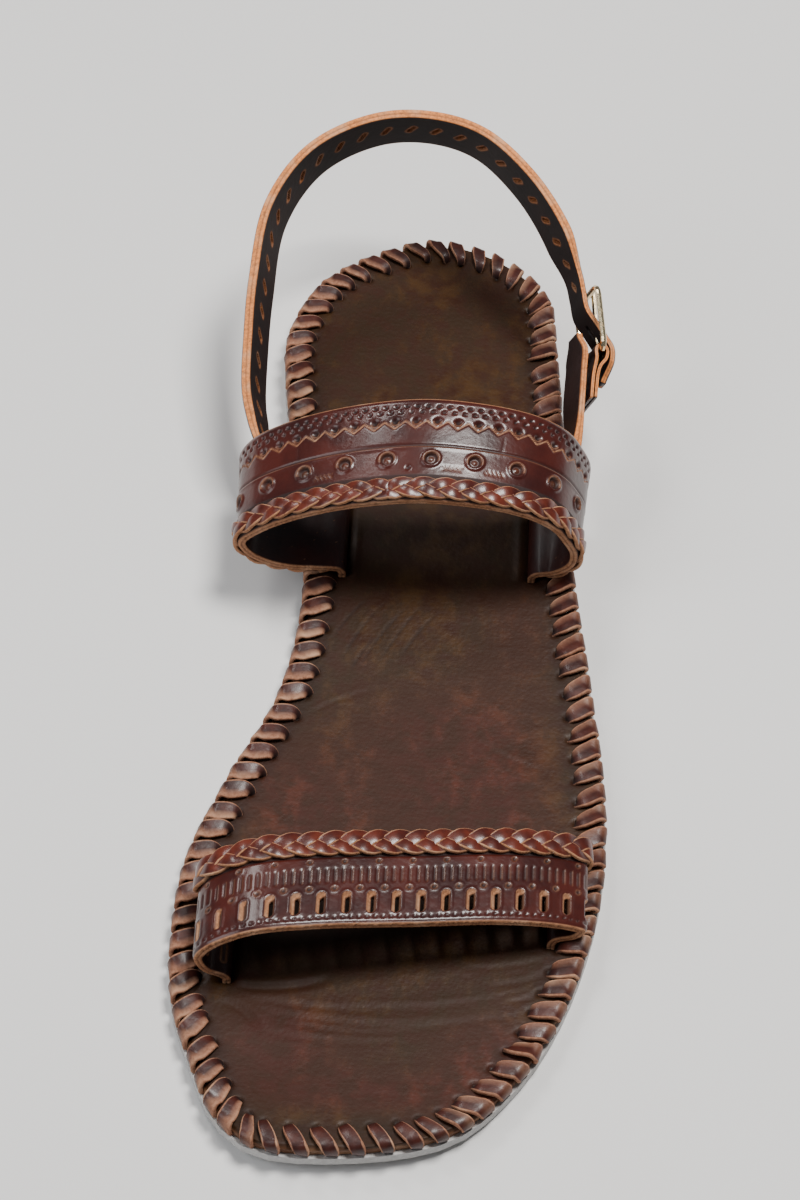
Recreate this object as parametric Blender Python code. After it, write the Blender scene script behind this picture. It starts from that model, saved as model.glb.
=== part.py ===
"""Kolhapuri sandal for the left foot: laced leather sole, two braided straps and a buckled heel strap.

Metres, +Z up. The toe points along -Y and the big toe side is -X.
The origin is the centre of the heel lift's flat underside, on the floor.
"""
import math

import bmesh
import bpy
import numpy as np
from mathutils import Vector

MM = 0.001

# Fit between pieces that touch
CLEARANCE = 0.3 * MM

# Sole, measured over the laced edge
SOLE_LENGTH = 256.0 * MM
HEEL_WIDTH = 64.0 * MM
WAIST_WIDTH = 61.0 * MM
BALL_WIDTH = 90.0 * MM
TOE_WIDTH = 78.0 * MM
HEEL_LENGTH = 64.0 * MM
HEEL_BREAST_MARGIN = 6.0 * MM
HEEL_BREAST_HOLLOW = 3.0 * MM
HEEL_LIFT = 3.0 * MM
OUTSOLE_THICKNESS = 2.2 * MM
OUTSOLE_LEDGE = 0.4 * MM
FOOTBED_THICKNESS = 2.2 * MM
TOE_SPRING = 2.6 * MM
SLOPE_END = 0.60
SPRING_START = 0.84
SLOPE_STEPS = 6
SPRING_STEPS = 4

# Whip lacing round the edge of the footbed
LACE_THICKNESS = 1.0 * MM
LACE_REACH = 5.6 * MM
LACE_PITCH = 5.8 * MM
LACE_WEB = 0.4 * MM
LACE_STATIONS = 3
LACE_TUCK = 0.2 * MM

# Toe strap
TOE_STRAP_AT = 0.812
TOE_STRAP_SKEW = 0.19
TOE_STRAP_DEPTH = 23.0 * MM
TOE_STRAP_WALL = 2.0 * MM
TOE_STRAP_HEIGHT = 17.4 * MM
TOE_MEDIAL_OVERHANG = -5.4 * MM
TOE_LATERAL_OVERHANG = -1.4 * MM
TOE_MEDIAL_SLOT_INSET = 11.2 * MM
TOE_LATERAL_SLOT_INSET = 8.0 * MM
TOE_SLOT_COUNT = 20
TOE_SLOT_PITCH = 5.3 * MM
TOE_SLOT_LENGTH = 5.4 * MM
TOE_SLOT_WIDTH = 1.8 * MM
TOE_SLOT_FROM_EDGE = 5.2 * MM

# Instep strap
INSTEP_STRAP_AT = 0.410
INSTEP_STRAP_SKEW = 0.03
INSTEP_STRAP_DEPTH = 25.4 * MM
INSTEP_STRAP_WALL = 2.0 * MM
INSTEP_FRONT_HEIGHT = 31.8 * MM
INSTEP_REAR_HEIGHT = 36.2 * MM
INSTEP_LEAN = 4.0 * MM
INSTEP_MEDIAL_OVERHANG = 14.4 * MM
INSTEP_LATERAL_OVERHANG = -0.8 * MM
INSTEP_REAR_FLARE = 1.2 * MM
INSTEP_MEDIAL_SLOT_INSET = 8.2 * MM
INSTEP_LATERAL_SLOT_INSET = 9.6 * MM
INSTEP_EYELET_COUNT = 11
INSTEP_EYELET_PITCH = 9.7 * MM
INSTEP_EYELET_DIAMETER = 3.2 * MM
INSTEP_EYELET_DEPTH = 1.0 * MM
INSTEP_EYELET_FROM_EDGE = 10.3 * MM

# Ends of both foot straps, tucked into slots in the footbed
SLOT_SINK = 1.7 * MM
SLOT_CLEARANCE = 0.35 * MM

# Braid along one edge of each foot strap
BRAID_WIDTH = 6.0 * MM
BRAID_PITCH = 5.4 * MM
BRAID_RISE = 1.2 * MM

# Heel strap
HEEL_STRAP_WIDTH = 14.0 * MM
HEEL_STRAP_WALL = 2.4 * MM
HEEL_STRAP_TAIL_WIDTH = 9.0 * MM
HEEL_STRAP_TAIL_WALL = 1.4 * MM
HEEL_STRAP_TOP = 53.6 * MM
HEEL_STRAP_SLOPE = 0.392
HEEL_LOOP_WIDTH = 81.0 * MM
HEEL_LOOP_LENGTH = 90.0 * MM
HEEL_LOOP_INSET = 3.0 * MM
TUCKED_END_WIDTH = 8.0 * MM
TUCKED_END_WALL = 1.8 * MM
HEEL_SLOT_COUNT = 15
HEEL_SLOT_PITCH = 11.0 * MM
HEEL_SLOT_LENGTH = 4.6 * MM
HEEL_SLOT_WIDTH = 1.6 * MM
HEEL_SLOT_SLANT = 25.0

# Buckle on the outer side
BUCKLE_WIRE = 1.4 * MM
BUCKLE_LENGTH = 15.5 * MM
BUCKLE_HEIGHT = 16.0 * MM
BUCKLE_CORNER = 2.5 * MM
BUCKLE_TURN = 8.0
PRONG_WIRE = 1.1 * MM
BUCKLE_STRAP_WIDTH = 13.5 * MM
BUCKLE_STRAP_WALL = 1.4 * MM
BUCKLE_LOOP_WIDTH = 12.5 * MM
BUCKLE_LOOP_WALL = 0.8 * MM
BUCKLE_LOOP_LENGTH = 11.5 * MM

# Outline of the laced edge from the middle of the heel's back, down the big toe side and back again.
# Columns: the named width that the row follows; distance from the heel's back as a share of the
# sole's length; distance from the middle as a share of half that width, minus on the big toe side.
OUTLINE = (
    ("heel", 0.000, 0.02),
    ("heel", 0.020, -0.39),
    ("heel", 0.062, -0.80),
    ("heel", 0.130, -1.02),
    ("heel", 0.210, -0.99),
    ("waist", 0.330, -0.88),
    ("waist", 0.440, -0.81),
    ("waist", 0.540, -0.93),
    ("ball", 0.640, -0.86),
    ("ball", 0.730, -1.02),
    ("ball", 0.850, -1.02),
    ("toe", 0.915, -1.04),
    ("toe", 0.965, -0.89),
    ("toe", 0.991, -0.69),
    ("toe", 0.995, -0.25),
    ("toe", 0.973, 0.33),
    ("toe", 0.921, 0.66),
    ("ball", 0.850, 0.785),
    ("ball", 0.740, 0.95),
    ("ball", 0.640, 0.97),
    ("waist", 0.520, 1.32),
    ("waist", 0.400, 1.18),
    ("heel", 0.260, 1.04),
    ("heel", 0.140, 0.97),
    ("heel", 0.065, 0.89),
    ("heel", 0.018, 0.55),
)

# Middle line of each foot strap's wall, from the big toe side over the foot.
# Columns: share of half the strap's span, minus on the big toe side; how high the front edge and
# the rear edge rise over the level where the strap skims the lacing, as shares of their heights.
TOE_ARCH = (
    (-0.955, 0.16, 0.16),
    (-0.99, 0.34, 0.34),
    (-1.00, 0.52, 0.52),
    (-0.94, 0.75, 0.75),
    (-0.74, 1.00, 1.00),
    (-0.43, 1.00, 1.00),
    (0.13, 0.78, 0.78),
    (0.52, 0.63, 0.63),
    (0.76, 0.46, 0.46),
    (0.92, 0.28, 0.28),
    (0.99, 0.14, 0.14),
    (0.95, 0.02, 0.02),
)
INSTEP_ARCH = (
    (-0.54, 0.00, 0.00),
    (-0.70, 0.01, 0.00),
    (-0.84, 0.07, 0.03),
    (-0.96, 0.20, 0.11),
    (-1.00, 0.35, 0.29),
    (-0.93, 0.48, 0.48),
    (-0.77, 0.65, 0.65),
    (-0.54, 0.81, 0.81),
    (-0.24, 0.94, 0.94),
    (0.06, 1.00, 1.00),
    (0.36, 0.965, 0.965),
    (0.59, 0.89, 0.89),
    (0.74, 0.80, 0.80),
    (0.87, 0.66, 0.66),
    (0.95, 0.485, 0.485),
    (1.00, 0.32, 0.32),
    (0.99, 0.155, 0.155),
    (0.90, 0.03, 0.03),
)

# Upper edge of the heel strap seen from above, from the big toe side round the heel to its tail.
# Columns: share of half the loop's width; distance behind the front end as a share of the loop's
# length; how far the lower edge lies towards +X, as a share of the strap's width.
HEEL_LOOP = (
    (-0.85, 0.08, 0.20),
    (-0.93, 0.145, 0.22),
    (-0.975, 0.20, 0.25),
    (-1.012, 0.27, 0.25),
    (-1.022, 0.40, 0.25),
    (-1.015, 0.55, 0.25),
    (-0.95, 0.75, 0.20),
    (-0.73, 0.90, 0.14),
    (-0.38, 0.985, 0.07),
    (-0.05, 1.00, 0.00),
    (0.26, 0.965, -0.07),
    (0.54, 0.865, -0.14),
    (0.74, 0.745, -0.20),
    (0.87, 0.62, -0.25),
    (0.898, 0.572, -0.25),
    (0.923, 0.527, -0.25),
    (0.982, 0.49, -0.25),
    (1.032, 0.458, -0.25),
    (1.072, 0.43, -0.25),
    (1.076, 0.399, -0.25),
    (1.047, 0.349, -0.25),
)
BUCKLE_STRAP_PATH = (
    (0.832, 0.08, -0.06),
    (0.862, 0.145, -0.06),
    (0.885, 0.22, -0.16),
    (0.893, 0.30, -0.25),
    (0.897, 0.37, -0.25),
    (0.90, 0.404, -0.25),
    (0.886, 0.465, -0.25),
)
HINGE_ACROSS = 1.0
HINGE_ALONG = 0.415

# Colour, roughness and metallic value of each piece
FINISHES = {
    "outsole": ((0.46, 0.45, 0.44, 1.0), 0.75, 0.0),
    "heel_lift": ((0.40, 0.39, 0.38, 1.0), 0.80, 0.0),
    "footbed": ((0.085, 0.040, 0.026, 1.0), 0.42, 0.0),
    "edge_lacing": ((0.110, 0.032, 0.024, 1.0), 0.45, 0.0),
    "toe_strap": ((0.080, 0.020, 0.017, 1.0), 0.30, 0.0),
    "instep_strap": ((0.080, 0.020, 0.017, 1.0), 0.30, 0.0),
    "heel_strap": ((0.070, 0.018, 0.016, 1.0), 0.32, 0.0),
    "buckle_strap": ((0.070, 0.018, 0.016, 1.0), 0.35, 0.0),
    "buckle_loop": ((0.070, 0.018, 0.016, 1.0), 0.35, 0.0),
    "buckle_frame": ((0.78, 0.74, 0.66, 1.0), 0.25, 1.0),
    "buckle_prong": ((0.78, 0.74, 0.66, 1.0), 0.25, 1.0),
}

HEEL_BACK = HEEL_LENGTH / 2
FOOTBED_BASE = OUTSOLE_THICKNESS + CLEARANCE
DECK = FOOTBED_BASE + FOOTBED_THICKNESS
FOOTBED_INSET = LACE_THICKNESS + CLEARANCE
WIDTHS = {"heel": HEEL_WIDTH, "waist": WAIST_WIDTH, "ball": BALL_WIDTH, "toe": TOE_WIDTH}


def clear_scene():
    """Remove whatever the scene held before."""
    for item in list(bpy.data.objects):
        bpy.data.objects.remove(item, do_unlink=True)


def collection(name):
    """A collection of this name, linked to the scene."""
    made = bpy.data.collections.new(name)
    bpy.context.scene.collection.children.link(made)
    return made


def finish(name):
    """The Principled material of one piece."""
    colour, roughness, metallic = FINISHES[name]
    material = bpy.data.materials.new(name)
    material.use_nodes = True
    shader = material.node_tree.nodes["Principled BSDF"]
    shader.inputs["Base Color"].default_value = colour
    shader.inputs["Roughness"].default_value = roughness
    shader.inputs["Metallic"].default_value = metallic
    return material


def unit(vector):
    """The vector at length one."""
    return vector / np.linalg.norm(vector)


def ease(share):
    """A share from 0 to 1, eased at both ends."""
    return share * share * (3.0 - 2.0 * share)


def spline(points, count, closed=False, measured=2):
    """A smooth curve through the points, read off at equal distances along it.

    The first `measured` columns are places; the others ride along with them.
    """
    rows = np.asarray(points, dtype=float)
    if closed:
        rows = np.vstack([rows[-1], rows, rows[0], rows[1]])
    else:
        rows = np.vstack([2 * rows[0] - rows[1], rows, 2 * rows[-1] - rows[-2]])
    gaps = np.sqrt(np.linalg.norm(np.diff(rows[:, :measured], axis=0), axis=1))
    knots = np.concatenate([[0.0], np.cumsum(gaps)])
    samples = []
    for k in range(len(rows) - 3):
        t0, t1, t2, t3 = knots[k:k + 4]
        p0, p1, p2, p3 = rows[k:k + 4]
        for t in np.linspace(t1, t2, 12, endpoint=False):
            a1 = (t1 - t) / (t1 - t0) * p0 + (t - t0) / (t1 - t0) * p1
            a2 = (t2 - t) / (t2 - t1) * p1 + (t - t1) / (t2 - t1) * p2
            a3 = (t3 - t) / (t3 - t2) * p2 + (t - t2) / (t3 - t2) * p3
            b1 = (t2 - t) / (t2 - t0) * a1 + (t - t0) / (t2 - t0) * a2
            b2 = (t3 - t) / (t3 - t1) * a2 + (t - t1) / (t3 - t1) * a3
            samples.append((t2 - t) / (t2 - t1) * b1 + (t - t1) / (t2 - t1) * b2)
    samples.append(rows[-2])
    samples = np.array(samples)
    steps = np.linalg.norm(np.diff(samples[:, :measured], axis=0), axis=1)
    run = np.concatenate([[0.0], np.cumsum(steps)])
    reads = np.linspace(0.0, run[-1], count, endpoint=not closed)
    return np.stack([np.interp(reads, run, column) for column in samples.T], axis=1)


def length_of(path, measured=2):
    """Length of an open path."""
    return float(np.linalg.norm(np.diff(path[:, :measured], axis=0), axis=1).sum())


def laced_edge():
    """The laced edge as a closed loop, with a few points for each wrap of the lace."""
    rows = [(across * WIDTHS[width] / 2, HEEL_BACK - along * SOLE_LENGTH)
            for width, along, across in OUTLINE]
    trial = spline(rows, 400, closed=True)
    perimeter = length_of(np.vstack([trial, trial[0]]))
    wraps = round(perimeter / LACE_PITCH)
    return spline(rows, wraps * LACE_STATIONS, closed=True)


def inset(loop, distance):
    """The loop moved inwards, or outwards where the distance is below zero."""
    heading = np.roll(loop, -1, axis=0) - np.roll(loop, 1, axis=0)
    heading /= np.linalg.norm(heading, axis=1)[:, None]
    inward = np.stack([-heading[:, 1], heading[:, 0]], axis=1)
    return loop + inward * distance


def sole_profile():
    """Stations along the sole from the heel's back, and the underside's height at each."""
    slope_start = HEEL_LENGTH + HEEL_BREAST_MARGIN
    slope_run = SLOPE_END * SOLE_LENGTH - slope_start
    spring_start = SPRING_START * SOLE_LENGTH
    spring_run = SOLE_LENGTH - spring_start
    rows = [(slope_start + slope_run * k / SLOPE_STEPS, HEEL_LIFT * (1 - ease(k / SLOPE_STEPS)))
            for k in range(SLOPE_STEPS + 1)]
    rows += [(spring_start + spring_run * k / SPRING_STEPS, TOE_SPRING * (k / SPRING_STEPS) ** 2)
             for k in range(SPRING_STEPS + 1)]
    return np.array(rows)


PROFILE = sole_profile()
EDGE = laced_edge()


def lift(y):
    """Height of the outsole's underside above the floor."""
    return float(np.interp(HEEL_BACK - y, PROFILE[:, 0], PROFILE[:, 1]))


def deck(y):
    """Height of the footbed's upper face."""
    return lift(y) + DECK


def edge_at(y, side):
    """Where the laced edge crosses y, on the side -1 of the big toe or the outer side 1."""
    points = EDGE[EDGE[:, 0] * side > 0]
    order = np.argsort(points[:, 1])
    return float(np.interp(y, points[order, 1], points[order, 0]))


def add_object(name, bm, group, smooth=True):
    """Turn the bmesh into a named object with its finish."""
    bmesh.ops.recalc_face_normals(bm, faces=bm.faces)
    mesh = bpy.data.meshes.new(name)
    bm.to_mesh(mesh)
    bm.free()
    if smooth:
        mesh.shade_smooth()
        mesh.set_sharp_from_angle(angle=math.radians(35))
    made = bpy.data.objects.new(name, mesh)
    group.objects.link(made)
    if name in FINISHES:
        mesh.materials.append(finish(name))
    return made


def slab(loop, low, high):
    """A plate of the loop's outline between two heights, cut across at the sole's folds and bent."""
    bm = bmesh.new()
    under = bm.faces.new([bm.verts.new((x, y, low)) for x, y in loop])
    raised = bmesh.ops.extrude_face_region(bm, geom=[under])["geom"]
    bmesh.ops.translate(bm, vec=(0, 0, high - low),
                        verts=[item for item in raised if isinstance(item, bmesh.types.BMVert)])
    for station in PROFILE[:, 0]:
        everything = bm.verts[:] + bm.edges[:] + bm.faces[:]
        bmesh.ops.bisect_plane(bm, geom=everything, dist=0.01 * MM,
                               plane_co=(0, HEEL_BACK - station, 0), plane_no=(0, 1, 0))
    for vert in bm.verts:
        vert.co.z += lift(vert.co.y)
    return bm


def loft(rings, closed=False):
    """A solid through rings with equal numbers of points, capped unless it closes on itself."""
    bm = bmesh.new()
    grid = [[bm.verts.new(point) for point in ring] for ring in rings]
    followers = grid[1:] + ([grid[0]] if closed else [])
    for ring, following in zip(grid, followers):
        for k, corner in enumerate(ring):
            beside = (k + 1) % len(ring)
            bm.faces.new((corner, following[k], following[beside], ring[beside]))
    if not closed:
        bm.faces.new(grid[0])
        bm.faces.new(grid[-1][::-1])
    return bm


def cutter_box(name, centre, size, group):
    """A box for cutting, along the axes."""
    bm = bmesh.new()
    bmesh.ops.create_cube(bm, size=1.0)
    bmesh.ops.scale(bm, vec=size, verts=bm.verts)
    bmesh.ops.translate(bm, vec=centre, verts=bm.verts)
    return hide(add_object(name, bm, group, smooth=False))


def hide(item):
    """Mark an object as a cutter."""
    item.hide_render = True
    item.display_type = "WIRE"
    return item


def cut(target, tool):
    """Subtract one object from another."""
    boolean = target.modifiers.new(tool.name, "BOOLEAN")
    boolean.operation = "DIFFERENCE"
    boolean.solver = "EXACT"
    boolean.object = tool


def punches(name, frames, outline, low, high, group):
    """One cutter made of a prism of the outline at each frame, between two depths along its normal.

    A frame is a place, the direction along the strap, the direction across it and the normal.
    """
    bm = bmesh.new()
    for place, along, across, normal in frames:
        under = [bm.verts.new(place + along * u + across * v + normal * low) for u, v in outline]
        over = [bm.verts.new(place + along * u + across * v + normal * high) for u, v in outline]
        bm.faces.new(under)
        bm.faces.new(over[::-1])
        for k in range(len(outline)):
            beside = (k + 1) % len(outline)
            bm.faces.new((under[k], over[k], over[beside], under[beside]))
    return hide(add_object(name, bm, group, smooth=False))


def oval(width, length, slant=0.0):
    """A six-sided slot, its length across the strap and turned by the slant."""
    half, tip = width / 2, length / 2
    corners = ((0, tip), (half, tip - half), (half, half - tip), (0, -tip), (-half, half - tip), (-half, tip - half))
    turn = math.radians(slant)
    return [(u * math.cos(turn) - v * math.sin(turn), u * math.sin(turn) + v * math.cos(turn)) for u, v in corners]


def disc(diameter):
    """An eight-sided hole."""
    corners = [math.radians(45 * k + 22.5) for k in range(8)]
    return [(diameter / 2 * math.cos(a), diameter / 2 * math.sin(a)) for a in corners]


def make_outsole(group):
    """Outsole plate, a little proud of the lacing."""
    loop = inset(EDGE, -OUTSOLE_LEDGE)[::LACE_STATIONS]
    return add_object("outsole", slab(loop, 0.0, OUTSOLE_THICKNESS), group)


def make_heel_lift(group, tools):
    """Flat lift under the heel, cut off by a shallow curve at its breast."""
    loop = inset(EDGE, -OUTSOLE_LEDGE)[::LACE_STATIONS]
    bm = bmesh.new()
    under = bm.faces.new([bm.verts.new((x, y, 0.0)) for x, y in loop])
    raised = bmesh.ops.extrude_face_region(bm, geom=[under])["geom"]
    bmesh.ops.translate(bm, vec=(0, 0, HEEL_LIFT - CLEARANCE),
                        verts=[item for item in raised if isinstance(item, bmesh.types.BMVert)])
    made = add_object("heel_lift", bm, group)
    front = HEEL_BACK - HEEL_LENGTH
    half = HEEL_WIDTH
    shares = np.linspace(-1, 1, 9)
    breast = [(half * s, front + HEEL_BREAST_HOLLOW * (1 - s * s) - HEEL_BREAST_HOLLOW / 2) for s in shares]
    around = breast + [(half, HEEL_BACK - 2 * SOLE_LENGTH), (-half, HEEL_BACK - 2 * SOLE_LENGTH)]
    tool = bmesh.new()
    low = [tool.verts.new((x, y, -HEEL_LIFT)) for x, y in around]
    high = [tool.verts.new((x, y, 2 * HEEL_LIFT)) for x, y in around]
    tool.faces.new(low)
    tool.faces.new(high[::-1])
    for k in range(len(around)):
        beside = (k + 1) % len(around)
        tool.faces.new((low[k], high[k], high[beside], low[beside]))
    cut(made, hide(add_object("breast_cutter", tool, tools, smooth=False)))
    return made


def make_footbed(group):
    """Footbed plate inside the lacing."""
    loop = inset(EDGE, FOOTBED_INSET)[::LACE_STATIONS]
    return add_object("footbed", slab(loop, FOOTBED_BASE, DECK), group)


def make_edge_lacing(group):
    """Whip lacing over the footbed's edge: raised wraps on a thin web, slanted towards the inside."""
    rings = []
    count = len(EDGE)
    wall = {True: LACE_THICKNESS, False: LACE_WEB}
    faces = {raised: inset(EDGE, LACE_THICKNESS - wall[raised]) for raised in wall}
    shoulder = inset(EDGE, FOOTBED_INSET)
    back = inset(EDGE, LACE_THICKNESS)
    reach = inset(EDGE, LACE_REACH)
    feet = {raised: inset(EDGE, LACE_THICKNESS - wall[raised] + LACE_TUCK) for raised in wall}
    for k in range(count):
        raised = k % LACE_STATIONS != LACE_STATIONS - 1
        thick = wall[raised]
        inner = reach[k - 1]
        face = faces[raised][k]
        low = lift(face[1]) + FOOTBED_BASE
        top = deck(face[1]) + CLEARANCE
        end = deck(inner[1]) + CLEARANCE
        rings.append([
            (*feet[raised][k], low),
            (*face, (low + 2 * top) / 3),
            (*shoulder[k], top + thick),
            (*inner, end + 0.85 * thick),
            (*inner, end),
            (*back[k], top),
            (*back[k], low),
        ])
    return add_object("edge_lacing", loft(rings, closed=True), group)


def skim_level(wall):
    """Height over the footbed of a strap's middle line where it lies on the lacing."""
    return CLEARANCE + LACE_THICKNESS + CLEARANCE + wall / 2


def arch_line(rows, rear, ends, slots, height, wall, count):
    """Middle line of one edge of a strap, slot to slot: distance across and height over the footbed."""
    skim = skim_level(wall)
    middle, half = (ends[0] + ends[1]) / 2, (ends[1] - ends[0]) / 2
    bend = ((0.0, -SLOT_SINK), (0.0, 0.0), (0.0, 0.35 * skim), (0.4 * wall, 0.85 * skim))
    path = [(slots[0] - out, rise) for out, rise in bend]
    path += [(middle + row[0] * half, skim + row[2 if rear else 1] * (height - skim)) for row in rows]
    path += [(slots[1] + out, rise) for out, rise in bend[::-1]]
    return spline(path, count)


def strap_surface(front, rear, edge_y, depth, lean, height):
    """Points on a strap's middle surface: a function of the station and of the share from front to rear."""
    def point(k, share):
        x, rise = front[k] * (1 - share) + rear[k] * share
        y = edge_y(x) + depth * share - lean * max(rise, 0.0) / height
        return np.array([x, y, deck(y) + rise])
    return point


def normal_at(point, k, share, count):
    """Outward normal of a strap's middle surface."""
    before, after = max(k - 1, 0), min(k + 1, count - 1)
    along = point(after, share) - point(before, share)
    across = point(k, 1.0) - point(k, 0.0)
    return unit(np.cross(along, across))


def braided_rings(point, line, wall, depth, braid_in_front):
    """Rings of a foot strap's wall, with a braid along its front or rear edge.

    The braid's two rows of plaits rise by turns, and go flat where the strap turns under the foot.
    """
    width = BRAID_WIDTH / depth
    shares = np.array([0.0, 0.3, 0.7, 1.0]) * width
    count = len(line)
    rings = []
    for k in range(count):
        free = min(max((line[k, 1] - skim_level(wall)) / BRAID_WIDTH, 0.0), 1.0)
        first, second = (1.0, 0.2) if k % 2 else (0.2, 1.0)
        rises = (0.3 * free, first * free, second * free, 0.0)
        columns = [(share, rise) for share, rise in zip(shares, rises)] + [(1.0, 0.0)]
        if not braid_in_front:
            columns = [(1.0 - share, rise) for share, rise in columns][::-1]
        outer = []
        for share, rise in columns:
            normal = normal_at(point, k, share, count)
            outer.append(point(k, share) + normal * (wall / 2 + rise * BRAID_RISE))
        inner = [point(k, share) - normal_at(point, k, share, count) * wall / 2 for share in (1.0, 0.0)]
        rings.append(outer + inner)
    return rings


def frames_along(point, count, share, pitch, number):
    """Places at an equal pitch along a strap, about its middle, with their directions."""
    line = np.array([point(k, share) for k in range(count)])
    run = np.concatenate([[0.0], np.cumsum(np.linalg.norm(np.diff(line, axis=0), axis=1))])
    frames = []
    for n in range(number):
        target = run[-1] / 2 + (n - (number - 1) / 2) * pitch
        place = np.array([np.interp(target, run, line[:, axis]) for axis in range(3)])
        k = int(np.clip(np.searchsorted(run, target), 1, count - 2))
        along = unit(line[k + 1] - line[k - 1])
        normal = normal_at(point, k, share, count)
        frames.append((place, along, np.cross(normal, along), normal))
    return frames


def slot_cutters(name, front, point, wall, depth, footbed, tools):
    """Cut the two slots that hold a foot strap's ends."""
    for side, k in (("medial", 0), ("lateral", len(front) - 1)):
        start, stop = point(k, 0.0), point(k, 1.0)
        centre = ((start[0] + stop[0]) / 2, (start[1] + stop[1]) / 2, deck(start[1]) - FOOTBED_THICKNESS / 2)
        size = (wall + abs(stop[0] - start[0]) + 2 * SLOT_CLEARANCE,
                depth + 2 * SLOT_CLEARANCE, 3 * FOOTBED_THICKNESS)
        cut(footbed, cutter_box(f"{name}_{side}_slot", centre, size, tools))


def make_toe_strap(group, tools, footbed):
    """Low strap over the toes, braided along its rear edge and slotted near its front edge."""
    middle_y = HEEL_BACK - TOE_STRAP_AT * SOLE_LENGTH

    def edge_y(x):
        return middle_y + TOE_STRAP_SKEW * x

    medial, lateral = edge_at(edge_y(-BALL_WIDTH / 2), -1), edge_at(edge_y(BALL_WIDTH / 2), 1)
    ends = (medial - TOE_MEDIAL_OVERHANG, lateral + TOE_LATERAL_OVERHANG)
    slots = (medial + TOE_MEDIAL_SLOT_INSET, lateral - TOE_LATERAL_SLOT_INSET)
    trial = arch_line(TOE_ARCH, False, ends, slots, TOE_STRAP_HEIGHT, TOE_STRAP_WALL, 200)
    count = 2 * round(length_of(trial) / BRAID_PITCH) + 1
    line = arch_line(TOE_ARCH, False, ends, slots, TOE_STRAP_HEIGHT, TOE_STRAP_WALL, count)
    point = strap_surface(line, line, edge_y, TOE_STRAP_DEPTH, 0.0, TOE_STRAP_HEIGHT)
    rings = braided_rings(point, line, TOE_STRAP_WALL, TOE_STRAP_DEPTH, braid_in_front=False)
    made = add_object("toe_strap", loft(rings), group)
    slot_cutters("toe", line, point, TOE_STRAP_WALL, TOE_STRAP_DEPTH, footbed, tools)
    share = TOE_SLOT_FROM_EDGE / TOE_STRAP_DEPTH
    frames = frames_along(point, count, share, TOE_SLOT_PITCH, TOE_SLOT_COUNT)
    outline = oval(TOE_SLOT_WIDTH, TOE_SLOT_LENGTH)
    cut(made, punches("toe_slot_cutter", frames, outline, -TOE_STRAP_WALL, TOE_STRAP_WALL, tools))
    return made


def instep_span():
    """Height function, ends and slots of the instep strap."""
    middle_y = HEEL_BACK - INSTEP_STRAP_AT * SOLE_LENGTH
    medial, lateral = edge_at(middle_y, -1), edge_at(middle_y, 1)
    ends = (medial - INSTEP_MEDIAL_OVERHANG, lateral + INSTEP_LATERAL_OVERHANG)
    slots = (medial + INSTEP_MEDIAL_SLOT_INSET, lateral - INSTEP_LATERAL_SLOT_INSET)
    return middle_y, ends, slots


def make_instep_strap(group, tools, footbed):
    """High strap over the instep, braided along its front edge, with a row of blind eyelets."""
    middle_y, ends, slots = instep_span()

    def edge_y(x):
        return middle_y + INSTEP_STRAP_SKEW * x

    wider = (ends[0] - INSTEP_REAR_FLARE, ends[1] + 2 * INSTEP_REAR_FLARE)
    wall = INSTEP_STRAP_WALL
    trial = arch_line(INSTEP_ARCH, False, ends, slots, INSTEP_FRONT_HEIGHT, wall, 200)
    count = 2 * round(length_of(trial) / BRAID_PITCH) + 1
    front = arch_line(INSTEP_ARCH, False, ends, slots, INSTEP_FRONT_HEIGHT, wall, count)
    rear = arch_line(INSTEP_ARCH, True, wider, slots, INSTEP_REAR_HEIGHT, wall, count)
    point = strap_surface(front, rear, edge_y, INSTEP_STRAP_DEPTH, INSTEP_LEAN, INSTEP_FRONT_HEIGHT)
    rings = braided_rings(point, front, wall, INSTEP_STRAP_DEPTH, braid_in_front=True)
    made = add_object("instep_strap", loft(rings), group)
    slot_cutters("instep", front, point, wall, INSTEP_STRAP_DEPTH, footbed, tools)
    share = INSTEP_EYELET_FROM_EDGE / INSTEP_STRAP_DEPTH
    frames = frames_along(point, count, share, INSTEP_EYELET_PITCH, INSTEP_EYELET_COUNT)
    bottom = wall / 2 - INSTEP_EYELET_DEPTH
    cut(made, punches("eyelet_cutter", frames, disc(INSTEP_EYELET_DIAMETER), bottom, wall, tools))
    return made


def loop_top(across, along):
    """A place on the line of the heel strap's upper edge."""
    back = HEEL_BACK - HEEL_LOOP_INSET
    y = back - (1 - along) * HEEL_LOOP_LENGTH
    return np.array([across * HEEL_LOOP_WIDTH / 2, y, HEEL_STRAP_TOP - HEEL_STRAP_SLOPE * (back - y)])


def loop_down(flare):
    """Direction from the heel strap's upper edge to its lower edge."""
    slope = math.atan(HEEL_STRAP_SLOPE)
    return unit(np.array([flare, math.sin(slope), -math.cos(slope)]))


def ramp(share, start, stop):
    """How far a share has gone from start to stop, eased."""
    return ease(min(max((share - start) / (stop - start), 0.0), 1.0))


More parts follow.
